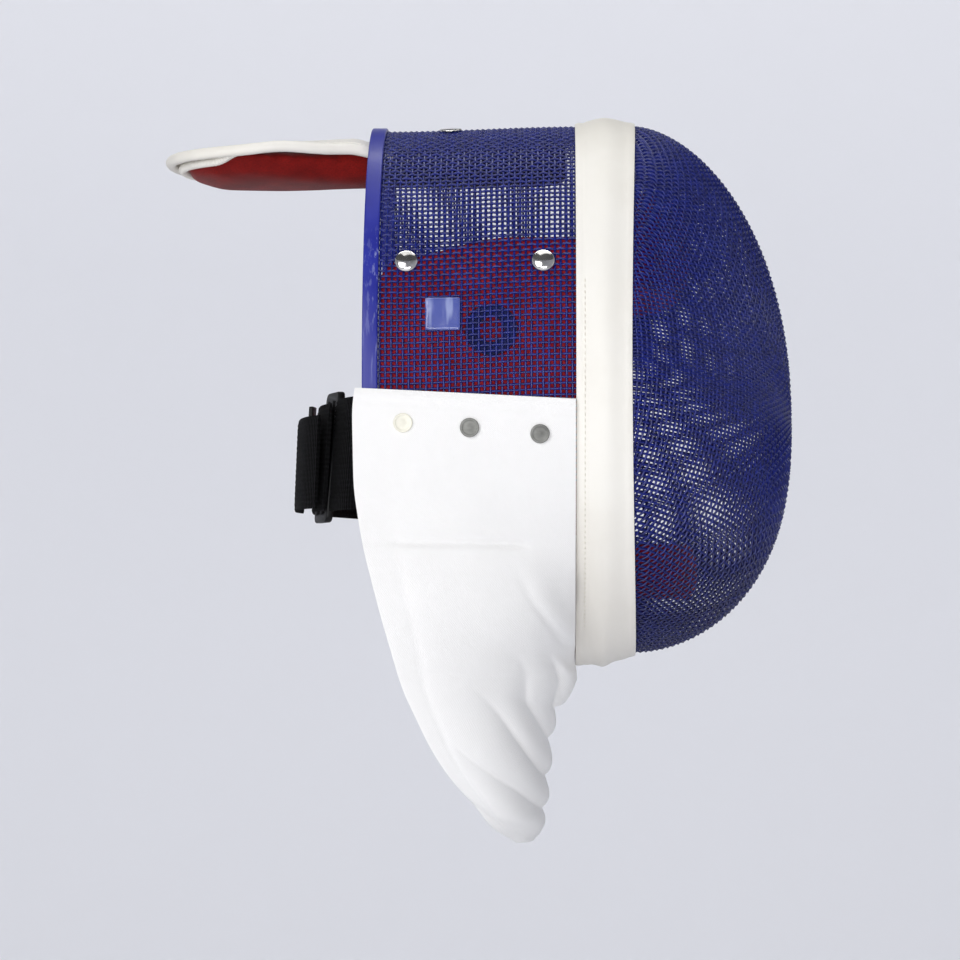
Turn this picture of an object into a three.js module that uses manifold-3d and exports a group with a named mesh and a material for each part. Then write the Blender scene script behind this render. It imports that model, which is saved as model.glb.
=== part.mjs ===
// A fencing mask: a woven wire dome and side mesh joined under a cream strip, with a bound rear edge,
// padded lining, a sprung tongue over the back of the head, a webbing back strap and a pleated bib.
// Millimetres, +Z up. The mask faces +X and its wearer's left is +Y.
// The origin is the head seat, where the top of the head meets the underside of the crown padding.

import * as THREE from "three";
import Module from "manifold-3d";
import { mergeVertices } from "three/addons/utils/BufferGeometryUtils.js";

const wasm = await Module();
wasm.setup();

// Fits
const fit = 0.3; // between rigid pieces that touch
const clothFit = 0.8; // between a cloth or padded piece and the wall that it lies against

// Hoop, the outline of the mask where the front and side meshes meet, seen from the front
const widestZ = -106;
const frontHalfWidth = 106;
const crownHeight = 139; // above the widest line
const jawDepth = 157; // below the widest line
const crownPower = 1.9;
const jawPower = 1.8;

// Wire mesh
const meshWall = 1.8;
const meshJoinX = 70;
const sideNarrowing = 2; // the side mesh lies this much inside the front one behind the ears
const sideHalfWidth = frontHalfWidth - sideNarrowing;
const sideRearX = -58;
const sideCrownFall = 2.5; // its crown lies this much lower at the rear edge
const sideLowerZ = -204; // lower edge behind the jaw
const sideSlopeX = 26; // from here forwards the lower edge slopes to the chin
const noseX = 175;
const noseZ = -135;
const domeStartX = 86;

// Joint strip
const bandRearX = 53.5;
const bandWidth = 33.5;
const bandSideDip = 4; // the front edge lies this much further back at the ears
const bandWall = 1.6;
const bandCrown = 2.8; // how far its middle stands over the mesh joint

// Rear edge binding, a channel folded over the side mesh
const rimWidth = 10.5;
const rimWall = 1.6;
const rimTail = 0.5; // behind the mesh edge
const rimBevel = 0.8;

// Bib
const bibWall = 4;
const bibRearX = -65;
const bibHemRearZ = -122;
const bibHemFrontZ = -127.5;
const bibTipX = 25; // its run is measured to here
const bibTipZ = -368;
const bibFrontX = 49; // where the inside of the front line leaves the chin
const pleatPitch = 19.4;
const pleatFirstZ = -291; // the uppermost valley on the front line
const pleatLastZ = -349; // the lowest valley
const pleatHeight = 2.8;
const throatRoll = 5; // how much further the fold above the first valley stands out
const seamZ = -204;
const seamPuff = 2.5; // how far the cloth stands out below the seam
const seamPuffDrop = 60; // down to here below the seam
const seamPuffBack = 30; // and from this far behind the front line
const bibGap = 0.4; // share of the relief that the inside follows

// Padding
const padWall = 11;
const padEdge = 3; // thickness at its edges
const padRearX = -45;
const padFrontX = 61;
const padTopZ = -52;
const padEase = 1.6; // the lower front corner stands this much further off the curved wall
const padTopRise = 14; // the top edge rises this much towards the front
const padLowerZ = -198;
const foreheadX = 118;
const foreheadDrop = 41; // below the crown
const foreheadTopZ = widestZ + crownHeight - foreheadDrop;
const foreheadLowerZ = -70;
const foreheadWall = 24;
const rollEase = 6; // a roll's edges lie this much further back than its middle
const chinPadX = 122;
const chinPadRise = 27; // above the chin
const chinPadHeight = 36;
const chinPadLowerZ = widestZ - jawDepth + chinPadRise;
const chinPadTopZ = chinPadLowerZ + chinPadHeight;
const chinPadWall = 14;
const earX = 8.3;
const earZ = -90;
const earOuterR = 13.8;
const earInnerR = 6.8;
const earRingWall = 2.4;

// Tongue
const tongueTipX = -171;
const tongueRootX = 4;
const tongueRootHalf = 26;
const tongueWideHalf = 44;
const tongueWideX = -128;
const tongueTipDrop = 8; // the tip hangs this much below the crown lining
const tongueFlatness = 0.85; // how far it has flattened across at its tip
const tongueCoverWall = 2;
const tongueRimDrop = 4.6; // clears the binding where the tongue leaves the mask
const pipingR = 3.1;
const tonguePadEdge = 2.5;
const tonguePadInset = 1.5; // inside the edge of the cover
const tonguePadTaper = 26; // length over which it thins to the tip
const tonguePadTipGap = 5;
const crownPadFrontX = 50;

// Fasteners
const rivetR = 6.35;
const rivetHeight = 3;
const meshRivetX = [-37, 36];
const meshRivetZ = -53.5;
const tongueRivetX = -16;
const tongueRivetY = 18;
const snapR = 5.1;
const snapHeight = 1.6;
const snapX = [-38, -3, 34];
const snapZ = [-140.6, -142.8, -145.5];

// Blank tag on the right side mesh
const tagX = -17.3;
const tagZ = -82.5;
const tagWidth = 18.5;
const tagHeight = 17.5;
const tagWall = 1;
const tagCorner = 1.5;

// Back strap
const strapWidth = 57;
const strapWall = 1.9;
const strapZ = -158;
const strapReach = 45; // how far it stands behind the side mesh
const strapFoldWidth = 52;
const tabWidth = 54;
const tabWall = 2.6;
const slideHeight = 71;
const slideLength = 24;
const slideWall = 4;
const slideBar = 5;
const slideCorner = 4;
const slideSlotEase = 4; // the slots are this much longer than the webbing is wide

// Helpers

const hoopFacets = 40;
const outside = 1; // the side of a skin whose u runs forwards and v from right to left
const smooth = (t) => THREE.MathUtils.smoothstep(t, 0, 1);
const mix = THREE.MathUtils.lerp;

// One closed body from shared corners and faces, with coincident corners merged.
function body(points, faces) {
  const place = new Map();
  const to = [];
  const kept = [];
  for (const p of points) {
    const key = [p.x, p.y, p.z].map((c) => Math.round(c * 2000)).join();
    if (!place.has(key)) {
      place.set(key, kept.length);
      kept.push(p);
    }
    to.push(place.get(key));
  }
  const index = [];
  let volume = 0;
  for (const face of faces) {
    const [a, b, c] = face.map((i) => to[i]);
    if (a === b || b === c || c === a) continue;
    index.push(a, b, c);
    volume += kept[a].dot(new THREE.Vector3().crossVectors(kept[b], kept[c]));
  }
  if (volume < 0) index.reverse();
  const geometry = new THREE.BufferGeometry();
  geometry.setAttribute("position", new THREE.Float32BufferAttribute(kept.flatMap((p) => p.toArray()), 3));
  geometry.setIndex(index);
  return geometry;
}

// A wall between two skins, each a function of u and v from 0 to 1. A ring joins its v ends.
function wall({ nu, nv, outer, inner, ring = false }) {
  const points = [];
  const faces = [];
  const rows = ring ? nv : nv + 1;
  const at = (skin, i, j) => (skin * (nu + 1) + i) * rows + (j % rows);
  for (const skin of [outer, inner]) {
    for (let i = 0; i <= nu; i++) {
      for (let j = 0; j < rows; j++) points.push(skin(i / nu, j / nv));
    }
  }
  const quad = (a, b, c, d) => faces.push([a, b, c], [a, c, d]);
  for (let i = 0; i < nu; i++) {
    for (let j = 0; j < nv; j++) {
      quad(at(0, i, j), at(0, i + 1, j), at(0, i + 1, j + 1), at(0, i, j + 1));
      quad(at(1, i, j + 1), at(1, i + 1, j + 1), at(1, i + 1, j), at(1, i, j));
    }
  }
  for (let j = 0; j < nv; j++) {
    quad(at(0, 0, j + 1), at(1, 0, j + 1), at(1, 0, j), at(0, 0, j));
    quad(at(0, nu, j), at(1, nu, j), at(1, nu, j + 1), at(0, nu, j + 1));
  }
  for (let i = 0; i < nu && !ring; i++) {
    quad(at(0, i, 0), at(1, i, 0), at(1, i + 1, 0), at(0, i + 1, 0));
    quad(at(0, i + 1, nv), at(1, i + 1, nv), at(1, i, nv), at(0, i, nv));
  }
  return body(points, faces);
}

// A body through closed sections that have the same number of points, capped at both ends.
function loft(sections) {
  const n = sections[0].length;
  const points = sections.flat();
  const faces = [];
  for (let i = 0; i + 1 < sections.length; i++) {
    for (let j = 0; j < n; j++) {
      const [a, b] = [i * n + j, i * n + ((j + 1) % n)];
      faces.push([a, b, b + n], [a, b + n, a + n]);
    }
  }
  const last = (sections.length - 1) * n;
  for (let j = 1; j + 1 < n; j++) {
    faces.push([0, j + 1, j], [last, last + j, last + j + 1]);
  }
  return body(points, faces);
}

// The skin function moved outwards by a distance that may change over it.
function offset(skin, distance, side = 1) {
  const step = 1e-3;
  return (u, v) => {
    const [u0, v0] = [Math.min(Math.max(u - step, 0), 1), Math.min(Math.max(v - step, 0), 1)];
    const [u1, v1] = [Math.min(u + step, 1), Math.min(v + step, 1)];
    const du = skin(u1, v).sub(skin(u0, v));
    const dv = skin(u, v1).sub(skin(u, v0));
    const n = new THREE.Vector3().crossVectors(du, dv).normalize().multiplyScalar(side);
    const d = typeof distance === "function" ? distance(u, v) : distance;
    return skin(u, v).addScaledVector(n, d);
  };
}

function toManifold(geometry) {
  const bare = geometry.clone();
  bare.deleteAttribute("normal");
  bare.deleteAttribute("uv");
  const merged = mergeVertices(bare, 1e-4);
  return new wasm.Manifold(new wasm.Mesh({
    numProp: 3,
    vertProperties: merged.attributes.position.array,
    triVerts: Uint32Array.from(merged.index.array),
  }));
}

function fromManifold(solid) {
  const mesh = solid.getMesh();
  const geometry = new THREE.BufferGeometry();
  geometry.setAttribute("position", new THREE.BufferAttribute(mesh.vertProperties, 3));
  geometry.setIndex(new THREE.BufferAttribute(mesh.triVerts, 1));
  return geometry;
}

const mask = new THREE.Group();

function add(name, geometry, material, placeAt = null) {
  const mesh = new THREE.Mesh(geometry, material.clone());
  mesh.name = name;
  if (placeAt) mesh.applyMatrix4(placeAt);
  mask.add(mesh);
  return mesh;
}

// A frame whose +Z is the given outward direction, at a point.
function facing(point, outward) {
  const turn = new THREE.Quaternion().setFromUnitVectors(new THREE.Vector3(0, 0, 1), outward);
  return new THREE.Matrix4().compose(point, turn, new THREE.Vector3(1, 1, 1));
}

// Materials
const finish = (color, roughness, metalness = 0) =>
  new THREE.MeshStandardMaterial({ color, roughness, metalness });
const blueWire = finish(0x2b3f9e, 0.4, 0.3);
const creamVinyl = finish(0xebe9e2, 0.5);
const blueBinding = finish(0x3a45aa, 0.25);
const whiteCloth = finish(0xf2f2f4, 0.9);
const redFelt = finish(0xa82a2e, 0.95);
const navyFelt = finish(0x1c2350, 0.9);
const chrome = finish(0xd8d8d8, 0.12, 1);
const greySnap = finish(0xa8a8a4, 0.4, 0.8);
const creamSnap = finish(0xe4e2d6, 0.45);
const blueTag = finish(0x7f93dc, 0.15);
const blackWebbing = finish(0x111113, 0.85);
const blackPlastic = finish(0x151517, 0.3);

// The hoop outline. turn runs from 0 at the crown, through 0.5 at the chin, back to 1 at the crown.
function hoopPoint(turn, halfWidth, x, crown = crownHeight) {
  const angle = turn * 2 * Math.PI;
  const [s, c] = [Math.sin(angle), Math.cos(angle)];
  const power = c > 0 ? crownPower : jawPower;
  const y = -Math.sign(s) * halfWidth * Math.abs(s) ** (2 / power);
  const z = widestZ + Math.sign(c) * (c > 0 ? crown : jawDepth) * Math.abs(c) ** (2 / power);
  return new THREE.Vector3(x, y, z);
}

// Half the width of the hoop at a height.
function hoopHalf(z, halfWidth = frontHalfWidth) {
  const above = z > widestZ;
  const share = Math.min(Math.abs(z - widestZ) / (above ? crownHeight : jawDepth), 1);
  const power = above ? crownPower : jawPower;
  return halfWidth * (1 - share ** power) ** (1 / power);
}

// Front mesh. u runs from the joint to the nose.
const domeBulge = [
  { towards: "side", fall: 1.5, swell: 0.82 },
  { towards: "up", fall: 2.2, swell: 0.57 },
  { towards: "down", fall: 2.5, swell: 0.52 },
];
const domeStraight = 0.12; // share of u that lies under the joint strip

function domePoint(u, v) {
  if (u < domeStraight) return hoopPoint(v, frontHalfWidth, mix(meshJoinX + fit, domeStartX, u / domeStraight));
  const c = Math.cos(v * 2 * Math.PI);
  const [side, up, down] = domeBulge;
  const along = c > 0 ? up : down;
  const fall = mix(side.fall, along.fall, c * c);
  const swell = mix(side.swell, along.swell, c * c);
  const forward = Math.sin(((u - domeStraight) / (1 - domeStraight)) * Math.PI / 2);
  const out = Math.max(1 - forward ** (1 / swell), 0) ** (1 / fall);
  const edge = hoopPoint(v, frontHalfWidth, domeStartX);
  return new THREE.Vector3(
    mix(domeStartX, noseX, forward), edge.y * out, mix(noseZ, edge.z, out));
}

function frontMesh() {
  const tip = (depth) => new THREE.Vector3(noseX - depth, 0, noseZ);
  const within = offset(domePoint, -meshWall, -outside);
  return wall({
    nu: 12, nv: hoopFacets, ring: true,
    outer: (u, v) => (u === 1 ? tip(0) : domePoint(u, v)),
    inner: (u, v) => (u === 1 ? tip(meshWall) : within(u, v)),
  });
}

// Side mesh. u runs forwards, v from the right lower edge over the crown to the left one.
function sideLower(x) {
  const forward = smooth((x - sideSlopeX) / (bandRearX - sideSlopeX));
  return mix(sideLowerZ, widestZ - jawDepth, forward);
}

// From 0 at the rear edge's binding to 1 at the joint strip, where the side mesh has the hoop's shape
function sideJoined(x) {
  return smooth((x - sideRearX - rimWidth) / (bandRearX - sideRearX - rimWidth));
}
const sideCrown = (x) => crownHeight - sideCrownFall * (1 - sideJoined(x));

function sidePoint(x, v) {
  const side = v < 0.5 ? -1 : 1;
  const down = Math.abs(v - 0.5) * 2;
  const joined = sideJoined(x);
  const halfWidth = mix(sideHalfWidth, frontHalfWidth, joined);
  if (down < 0.5) {
    const p = hoopPoint(down * 0.5, halfWidth, x, sideCrown(x));
    return new THREE.Vector3(x, side * Math.abs(p.y), p.z);
  }
  const z = mix(widestZ, sideLower(x), Math.abs(Math.cos(down * Math.PI)) ** (2 / jawPower));
  return new THREE.Vector3(x, side * mix(halfWidth, hoopHalf(z, halfWidth), joined), z);
}
const sideSkin = (rear, front) => (u, v) => sidePoint(mix(rear, front, u), v);

// The outside of the side mesh at a place, with the direction out of it.
function sideAt(x, z, hand) {
  let [low, high] = hand < 0 ? [0, 0.5] : [1, 0.5];
  for (let i = 0; i < 40; i++) {
    const middle = (low + high) / 2;
    if (sidePoint(x, middle).z < z) low = middle;
    else high = middle;
  }
  const skin = sideSkin(sideRearX, meshJoinX);
  const u = (x - sideRearX) / (meshJoinX - sideRearX);
  const outward = offset(skin, 1, outside)(u, low).sub(skin(u, low)).normalize();
  return { point: skin(u, low), outward };
}

function sideMesh() {
  const skin = sideSkin(sideRearX, meshJoinX);
  return wall({ nu: 8, nv: hoopFacets, outer: skin, inner: offset(skin, -meshWall, outside) });
}

// Joint strip, crowned over the joint
function bandSkin(u, v) {
  const c = Math.cos(v * 2 * Math.PI);
  const front = bandRearX + bandWidth - bandSideDip * (1 - c * c);
  return hoopPoint(v, frontHalfWidth, mix(bandRearX, front, u));
}

function band() {
  const rise = (u) => bandCrown * Math.sin(u * Math.PI) ** 0.8;
  return wall({
    nu: 4, nv: hoopFacets, ring: true,
    outer: offset(bandSkin, (u) => fit + bandWall + rise(u), -outside),
    inner: offset(bandSkin, (u) => fit + rise(u), -outside),
  });
}

// Rear binding: a channel section carried round the rear edge of the side mesh
function rearRim() {
  const rear = sideRearX - rimTail - rimWall;
  const front = rear + rimWidth;
  const [out, inn] = [fit + rimWall, -meshWall - fit - rimWall];
  const section = [
    { x: front, off: out }, { x: rear + rimBevel, off: out }, { x: rear, off: out - rimBevel },
    { x: rear, off: inn + rimBevel }, { x: rear + rimBevel, off: inn }, { x: front, off: inn },
    { x: front, off: inn + rimWall }, { x: rear + rimWall, off: inn + rimWall },
    { x: rear + rimWall, off: fit }, { x: front, off: fit },
  ];
  const steps = hoopFacets;
  const skin = (u, v) => sidePoint(sideRearX + u, v);
  const loops = [];
  for (let i = 0; i <= steps; i++) {
    loops.push(section.map(({ x, off }) => {
      const p = offset(skin, off, outside)(0, i / steps);
      return new THREE.Vector3(x, p.y, p.z);
    }));
  }
  const n = section.length;
  const points = loops.flat();
  const faces = [];
  for (let i = 0; i < steps; i++) {
    for (let j = 0; j < n; j++) {
      const [a, b] = [i * n + j, i * n + ((j + 1) % n)];
      faces.push([a, b, b + n], [a, b + n, a + n]);
    }
  }
  const flat = section.map(({ x, off }) => new THREE.Vector2(x, off));
  for (const [a, b, c] of THREE.ShapeUtils.triangulateShape(flat, [])) {
    const last = steps * n;
    faces.push([c, b, a], [last + a, last + b, last + c]);
  }
  return closed(points, faces, steps * n * 2);
}

// A body from sides and caps, where the caps come after the given count. Caps that run along an edge the same
// way as the sides are turned over.
function closed(points, faces, sides) {
  const edges = new Set(faces.slice(0, sides).flatMap(([a, b, c]) => [`${a},${b}`, `${b},${c}`, `${c},${a}`]));
  const clash = faces.slice(sides).some(([a, b, c]) =>
    edges.has(`${a},${b}`) || edges.has(`${b},${c}`) || edges.has(`${c},${a}`));
  const caps = faces.slice(sides).map((f) => (clash ? [...f].reverse() : f));
  return body(points, [...faces.slice(0, sides), ...caps]);
}

// Bib. Shares of the bib's drop from hem to tip, of its rear edge's run from rear to tip, and of its half width.
const bibRearEdge = [
  { down: 0, run: 0.02, half: 1 },
  { down: 0.03, run: 0, half: 1 },
  { down: 0.22, run: 0.012, half: 1 },
  { down: 0.34, run: 0.065, half: 1 },
  { down: 0.465, run: 0.154, half: 1 },
  { down: 0.63, run: 0.283, half: 0.985 },
  { down: 0.75, run: 0.437, half: 0.9 },
  { down: 0.825, run: 0.56, half: 0.79 },
  { down: 0.89, run: 0.723, half: 0.66 },
  { down: 0.925, run: 0.79, half: 0.56 },
  { down: 0.966, run: 0.845, half: 0.41 },
  { down: 0.985, run: 0.895, half: 0.31 },
  { down: 1, run: 0.955, half: 0.18 },
];
// The front line below the chin: shares of its drop from chin to tip, and of its run from chin to tip.
const bibFrontLine = [
  { down: 0, run: 0 },
  { down: 0.1, run: 0.08 },
  { down: 0.226, run: 0.496 },
  { down: 0.427, run: 0.625 },
  { down: 0.624, run: 0.683 },
  { down: 0.809, run: 0.755 },
  { down: 0.92, run: 0.767 },
  { down: 0.975, run: 0.83 },
  { down: 1, run: 0.958 },
];

function along(table, share, column) {
  const next = Math.max(table.findIndex((row) => row.down >= share), 1);
  const [a, b] = [table[next - 1], table[next]];
  return mix(a[column], b[column], (share - a.down) / (b.down - a.down));
}

const bibInside = sideHalfWidth + fit + rimWall + clothFit;
const chinZ = widestZ - jawDepth;
const pleats = { // rise for each millimetre backwards and reach back, at the first and the last valley
  first: { slope: 2.1, run: 24 },
  last: { slope: 0.95, run: 50 },
};
const bibChinShare = 0.5; // share of v that runs along the joint strip
const bibRoundFrom = 0.2; // above this share its plan is flat, and at the chin it is round
const bibTurnFrom = 0.3; // above this share its front end lies beside the strip, at the chin behind it
const bibHemCrowding = 0.4; // how much closer the rows lie at the chin

function bibFront(v) {
  const turned = smooth((v - bibTurnFrom) / (bibChinShare - bibTurnFrom));
  const x = bandRearX - fit - bibWall * turned;
  if (v < bibChinShare) {
    const t = v / bibChinShare;
    const z = mix(bibHemFrontZ, chinZ, mix(t, Math.sin(t * Math.PI / 2), bibHemCrowding));
    return new THREE.Vector3(x, hoopHalf(z) + clothFit, z);
  }
  const t = (v - bibChinShare) / (1 - bibChinShare);
  return new THREE.Vector3(
    mix(bibFrontX, bibTipX, along(bibFrontLine, t, "run")), 0,
    mix(chinZ - fit - bandWall - bandCrown - clothFit, bibTipZ, t));
}

function bibRear(v) {
  return new THREE.Vector3(
    mix(bibRearX, bibTipX, along(bibRearEdge, v, "run")),
    bibInside * along(bibRearEdge, v, "half"), mix(bibHemRearZ, bibTipZ, v));
}

// w runs from the right rear edge over the front line to the left one.
function bibPoint(v, w) {
  const hand = w < 0.5 ? -1 : 1;
  const t = 1 - Math.abs(w - 0.5) * 2;
  const [rear, front] = [bibRear(v), bibFront(v)];
  const forward = Math.sin(t * Math.PI / 2);
  const bend = mix(1, 2, smooth((v - bibRoundFrom) / (bibChinShare - bibRoundFrom)));
  return new THREE.Vector3(
    mix(rear.x, front.x, forward),
    hand * (front.y + (rear.y - front.y) * (1 - forward ** 2) ** (1 / bend)),
    mix(rear.z, front.z, forward));
}

function bibRelief(v, w) {
  const p = bibPoint(v, w);
  const back = Math.max(bibFront(v).x - p.x, 0);
  const low = Math.min(Math.max((pleatFirstZ - p.z) / (pleatFirstZ - pleatLastZ), 0), 1);
  const slope = mix(pleats.first.slope, pleats.last.slope, low);
  const run = mix(pleats.first.run, pleats.last.run, low);
  const level = (pleatFirstZ - (p.z - slope * back)) / pleatPitch;
  const fade = smooth(1 - back / run) * smooth((v - bibChinShare) * 10) * smooth((1 - v) * 12);
  const height = level < 0 ? pleatHeight + throatRoll : pleatHeight;
  const pleat = height * fade * Math.abs(Math.sin(Math.PI * level)) ** 0.7;
  const below = Math.min(Math.max((seamZ - p.z) / seamPuffDrop, 0), 1);
  return pleat + seamPuff * Math.sin(Math.PI * below) * smooth(back / seamPuffBack);
}
const bibOuter = offset(bibPoint, (v, w) => bibWall + bibRelief(v, w), outside);
const bibInner = offset(bibPoint, (v, w) => bibGap * bibRelief(v, w), outside);

// The outside of the bib at a place on one side, with the direction out of it.
function bibAt(x, z, hand) {
  let [v, forward] = [0.1, 0.5];
  for (let i = 0; i < 30; i++) {
    const [rear, front] = [bibRear(v), bibFront(v)];
    forward = (x - rear.x) / (front.x - rear.x);
    v += (mix(rear.z, front.z, forward) - z) / (bibHemRearZ - bibTipZ);
  }
  const share = Math.asin(forward) / Math.PI;
  const w = hand < 0 ? share : 1 - share;
  const outward = offset(bibPoint, 1, outside)(v, w).sub(bibPoint(v, w));
  return { point: bibOuter(v, w), outward };
}

// The bib is two flaps down to the chin that join below it, so it is a wall of one strip each side.
function bib() {
  const rows = 28;
  const columns = 9;
  const chinRow = Math.round(rows * bibChinShare);
  const nearMiddle = 1e-6;
  const points = [];
  const faces = [];
  const at = (skin, hand, i, j) => ((skin * 2 + hand) * (rows + 1) + i) * (columns + 1) + j;
  for (const skin of [bibOuter, bibInner]) {
    for (const side of [1, -1]) {
      for (let i = 0; i <= rows; i++) {
        for (let j = 0; j <= columns; j++) {
          const inwards = Math.min(j / columns, 1 - nearMiddle) * 0.5;
          const p = skin(i / rows, side > 0 ? inwards : 1 - inwards);
          if (j === columns && i >= chinRow) p.y = 0;
          if (i <= chinRow) p.x = Math.min(p.x, bandRearX - fit);
          points.push(p);
        }
      }
    }
  }
  const quad = (flip, a, b, c, d) => {
    if (flip) faces.push([a, c, b], [a, d, c]);
    else faces.push([a, b, c], [a, c, d]);
  };
  for (const hand of [0, 1]) {
    const flip = hand === 1;
    for (let i = 0; i < rows; i++) {
      for (let j = 0; j < columns; j++) {
        quad(flip, at(0, hand, i, j), at(0, hand, i, j + 1), at(0, hand, i + 1, j + 1), at(0, hand, i + 1, j));
        quad(!flip, at(1, hand, i, j), at(1, hand, i, j + 1), at(1, hand, i + 1, j + 1), at(1, hand, i + 1, j));
      }
      quad(flip, at(0, hand, i + 1, 0), at(1, hand, i + 1, 0), at(1, hand, i, 0), at(0, hand, i, 0));
      if (i < chinRow) {
        quad(flip, at(0, hand, i, columns), at(1, hand, i, columns),
          at(1, hand, i + 1, columns), at(0, hand, i + 1, columns));
      }
    }
    for (let j = 0; j < columns; j++) {
      quad(flip, at(0, hand, 0, j), at(1, hand, 0, j), at(1, hand, 0, j + 1), at(0, hand, 0, j + 1));
      quad(!flip, at(0, hand, rows, j), at(1, hand, rows, j), at(1, hand, rows, j + 1), at(0, hand, rows, j + 1));
    }
  }
  return body(points, faces);
}

// Side padding, a quilted panel that lies against the inside of the side mesh
function sidePad(hand) {
  const rounded = (t) => Math.sin(Math.PI * Math.min(Math.max(t, 0), 1)) ** 0.35;
  const face = (depth) => (u, v) => {
    const x = mix(padRearX, padFrontX, u);
    const top = padTopZ + padTopRise * smooth(u * 1.6);
    const z = mix(top, padLowerZ, v);
    const { point, outward } = sideAt(x, z, hand);
    return point.addScaledVector(outward, -(meshWall + clothFit + padEase * smooth(u) * smooth(v) + depth(u, v)));
  };
  return wall({
    nu: 6, nv: 8,
    outer: face(() => 0),
    inner: face((u, v) => mix(padEdge, padWall, rounded(u) * rounded(v))),
  });
}

// A flat ring on its own axis
function ringAt(outerR, innerR, thick) {
  const profile = [
    new THREE.Vector2(innerR, 0), new THREE.Vector2(outerR, 0),
    new THREE.Vector2(outerR, thick), new THREE.Vector2(innerR, thick), new THREE.Vector2(innerR, 0),
  ];
  const ring = new THREE.LatheGeometry(profile, 20);
  ring.rotateX(Math.PI / 2);
  return ring;
}

// A roll of padding across the inside, bowed forwards, whose ends lie against the mesh.
function crossPad({ topZ, lowerZ, frontX, thick }) {
  const rounded = (t) => Math.sin(Math.PI * t) ** 0.4;
  const face = (inset) => (u, v) => {
    const z = mix(lowerZ, topZ, u);
    const angle = mix(-Math.PI / 2, Math.PI / 2, v);
    const half = Math.min(hoopHalf(z), frontHalfWidth) - meshWall - 2 * clothFit - inset(u) * 0.6;
    const reach = frontX - padFrontX - rollEase * (1 - rounded(u)) - inset(u);
    return new THREE.Vector3(
      padFrontX + clothFit + reach * Math.cos(angle), half * Math.sin(angle), z);
  };
  return wall({
    nu: 5, nv: 16, outer: face(() => 0), inner: face((u) => mix(padEdge, thick, rounded(u))) });
}

// Tongue. Its height over the seat follows the crown at the root and flattens to the tip.
function tongueHalf(x) {
  if (x > sideRearX) return tongueRootHalf;
  if (x > tongueWideX) {
    return mix(tongueRootHalf, tongueWideHalf, smooth((x - sideRearX) / (tongueWideX - sideRearX)));
  }
  const t = (tongueWideX - x) / (tongueWideX - tongueTipX);
  return tongueWideHalf * Math.sqrt(Math.max(1 - t ** 2.3, 0));
}

function crownZ(x, y) {
  return widestZ + sideCrown(x) * (1 - (Math.abs(y) / sideHalfWidth) ** crownPower) ** (1 / crownPower);
}

function tongueTop(x, y) {
  const under = crownZ(x, y) - meshWall - mix(clothFit, tongueRimDrop, smooth((tongueRivetX - x) / 30));
  const level = crownZ(sideRearX, 0) - meshWall - tongueRimDrop;
  const back = Math.max((sideRearX - x) / (sideRearX - tongueTipX), 0);
  return mix(under, level, smooth(back * 1.4) * tongueFlatness) - tongueTipDrop * back ** 1.2;
}

function tongueCover() {
  const face = (depth) => (u, v) => {
    const x = mix(tongueRootX, tongueTipX, Math.sin(u * Math.PI / 2));
    const y = tongueHalf(x) * (v * 2 - 1);
    return new THREE.Vector3(x, y, tongueTop(x, y) - depth);
  };
  return wall({ nu: 14, nv: 6, outer: face(0), inner: face(tongueCoverWall) });
}

function tonguePiping() {
  const points = [];
  const count = 34;
  const away = pipingR + fit;
  for (let i = 0; i <= count; i++) {
    const a = (i / count) * 2 - 1;
    const x = mix(tongueTipX, sideRearX + rimWidth, Math.abs(a) ** 1.7);
    const edge = i * 2 === count ? 0 : tongueHalf(x) + pipingR;
    const y = Math.sign(a) * (edge + fit);
    points.push(new THREE.Vector3(x - away * (1 - Math.abs(a)) ** 3, y, tongueTop(x, edge) - pipingR));
  }
  const path = new THREE.CatmullRomCurve3(points);
  const section = new THREE.Shape().absarc(0, 0, pipingR, 0, 2 * Math.PI);
  return new THREE.ExtrudeGeometry(section, {
    steps: 36, curveSegments: 4, bevelEnabled: false, extrudePath: path });
}

// The padding under the tongue's cover runs on under the crown, where its underside is the head seat.
function tonguePad() {
  const topAt = (x, y) => tongueTop(Math.min(x, tongueRootX), y) - tongueCoverWall - clothFit;
  const tipward = (x) => 1 - Math.min((x - tongueTipX) / tonguePadTaper, 1);
  const rounded = (x, v) => Math.sin(Math.PI * v) ** 0.4 * Math.sqrt(1 - tipward(x) ** 2);
  const face = (depth) => (u, v) => {
    const x = mix(crownPadFrontX, tongueTipX + tonguePadTipGap, u);
    const y = (tongueHalf(x) - tonguePadInset) * (v * 2 - 1);
    return new THREE.Vector3(x, y, topAt(x, y) - depth(x, v));
  };
  return wall({
    nu: 12, nv: 8,
    outer: face(() => 0),
    inner: face((x, v) => mix(tonguePadEdge, topAt(x, 0), rounded(x, v))),
  });
}

// Domed rivet, flat side down, on its own axis
function rivet(radius, height) {
  const profile = [new THREE.Vector2(0, 0), new THREE.Vector2(radius, 0)];
  for (let i = 1; i <= 3; i++) {
    const a = (i / 3) * Math.PI / 2;
    profile.push(new THREE.Vector2(i === 3 ? 0 : radius * Math.cos(a), 0.5 + (height - 0.5) * Math.sin(a)));
  }
  const dome = new THREE.LatheGeometry(profile, 12);
  dome.rotateX(Math.PI / 2);
  return dome;
}

function snap() {
  const profile = [
    { r: 0, h: 0 }, { r: 1, h: 0 }, { r: 1, h: 0.6 }, { r: 0.8, h: 1 }, { r: 0, h: 0.8 },
  ].map(({ r, h }) => new THREE.Vector2(r * snapR, h * snapHeight));
  const disc = new THREE.LatheGeometry(profile, 12);
  disc.rotateX(Math.PI / 2);
  return disc;
}

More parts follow.
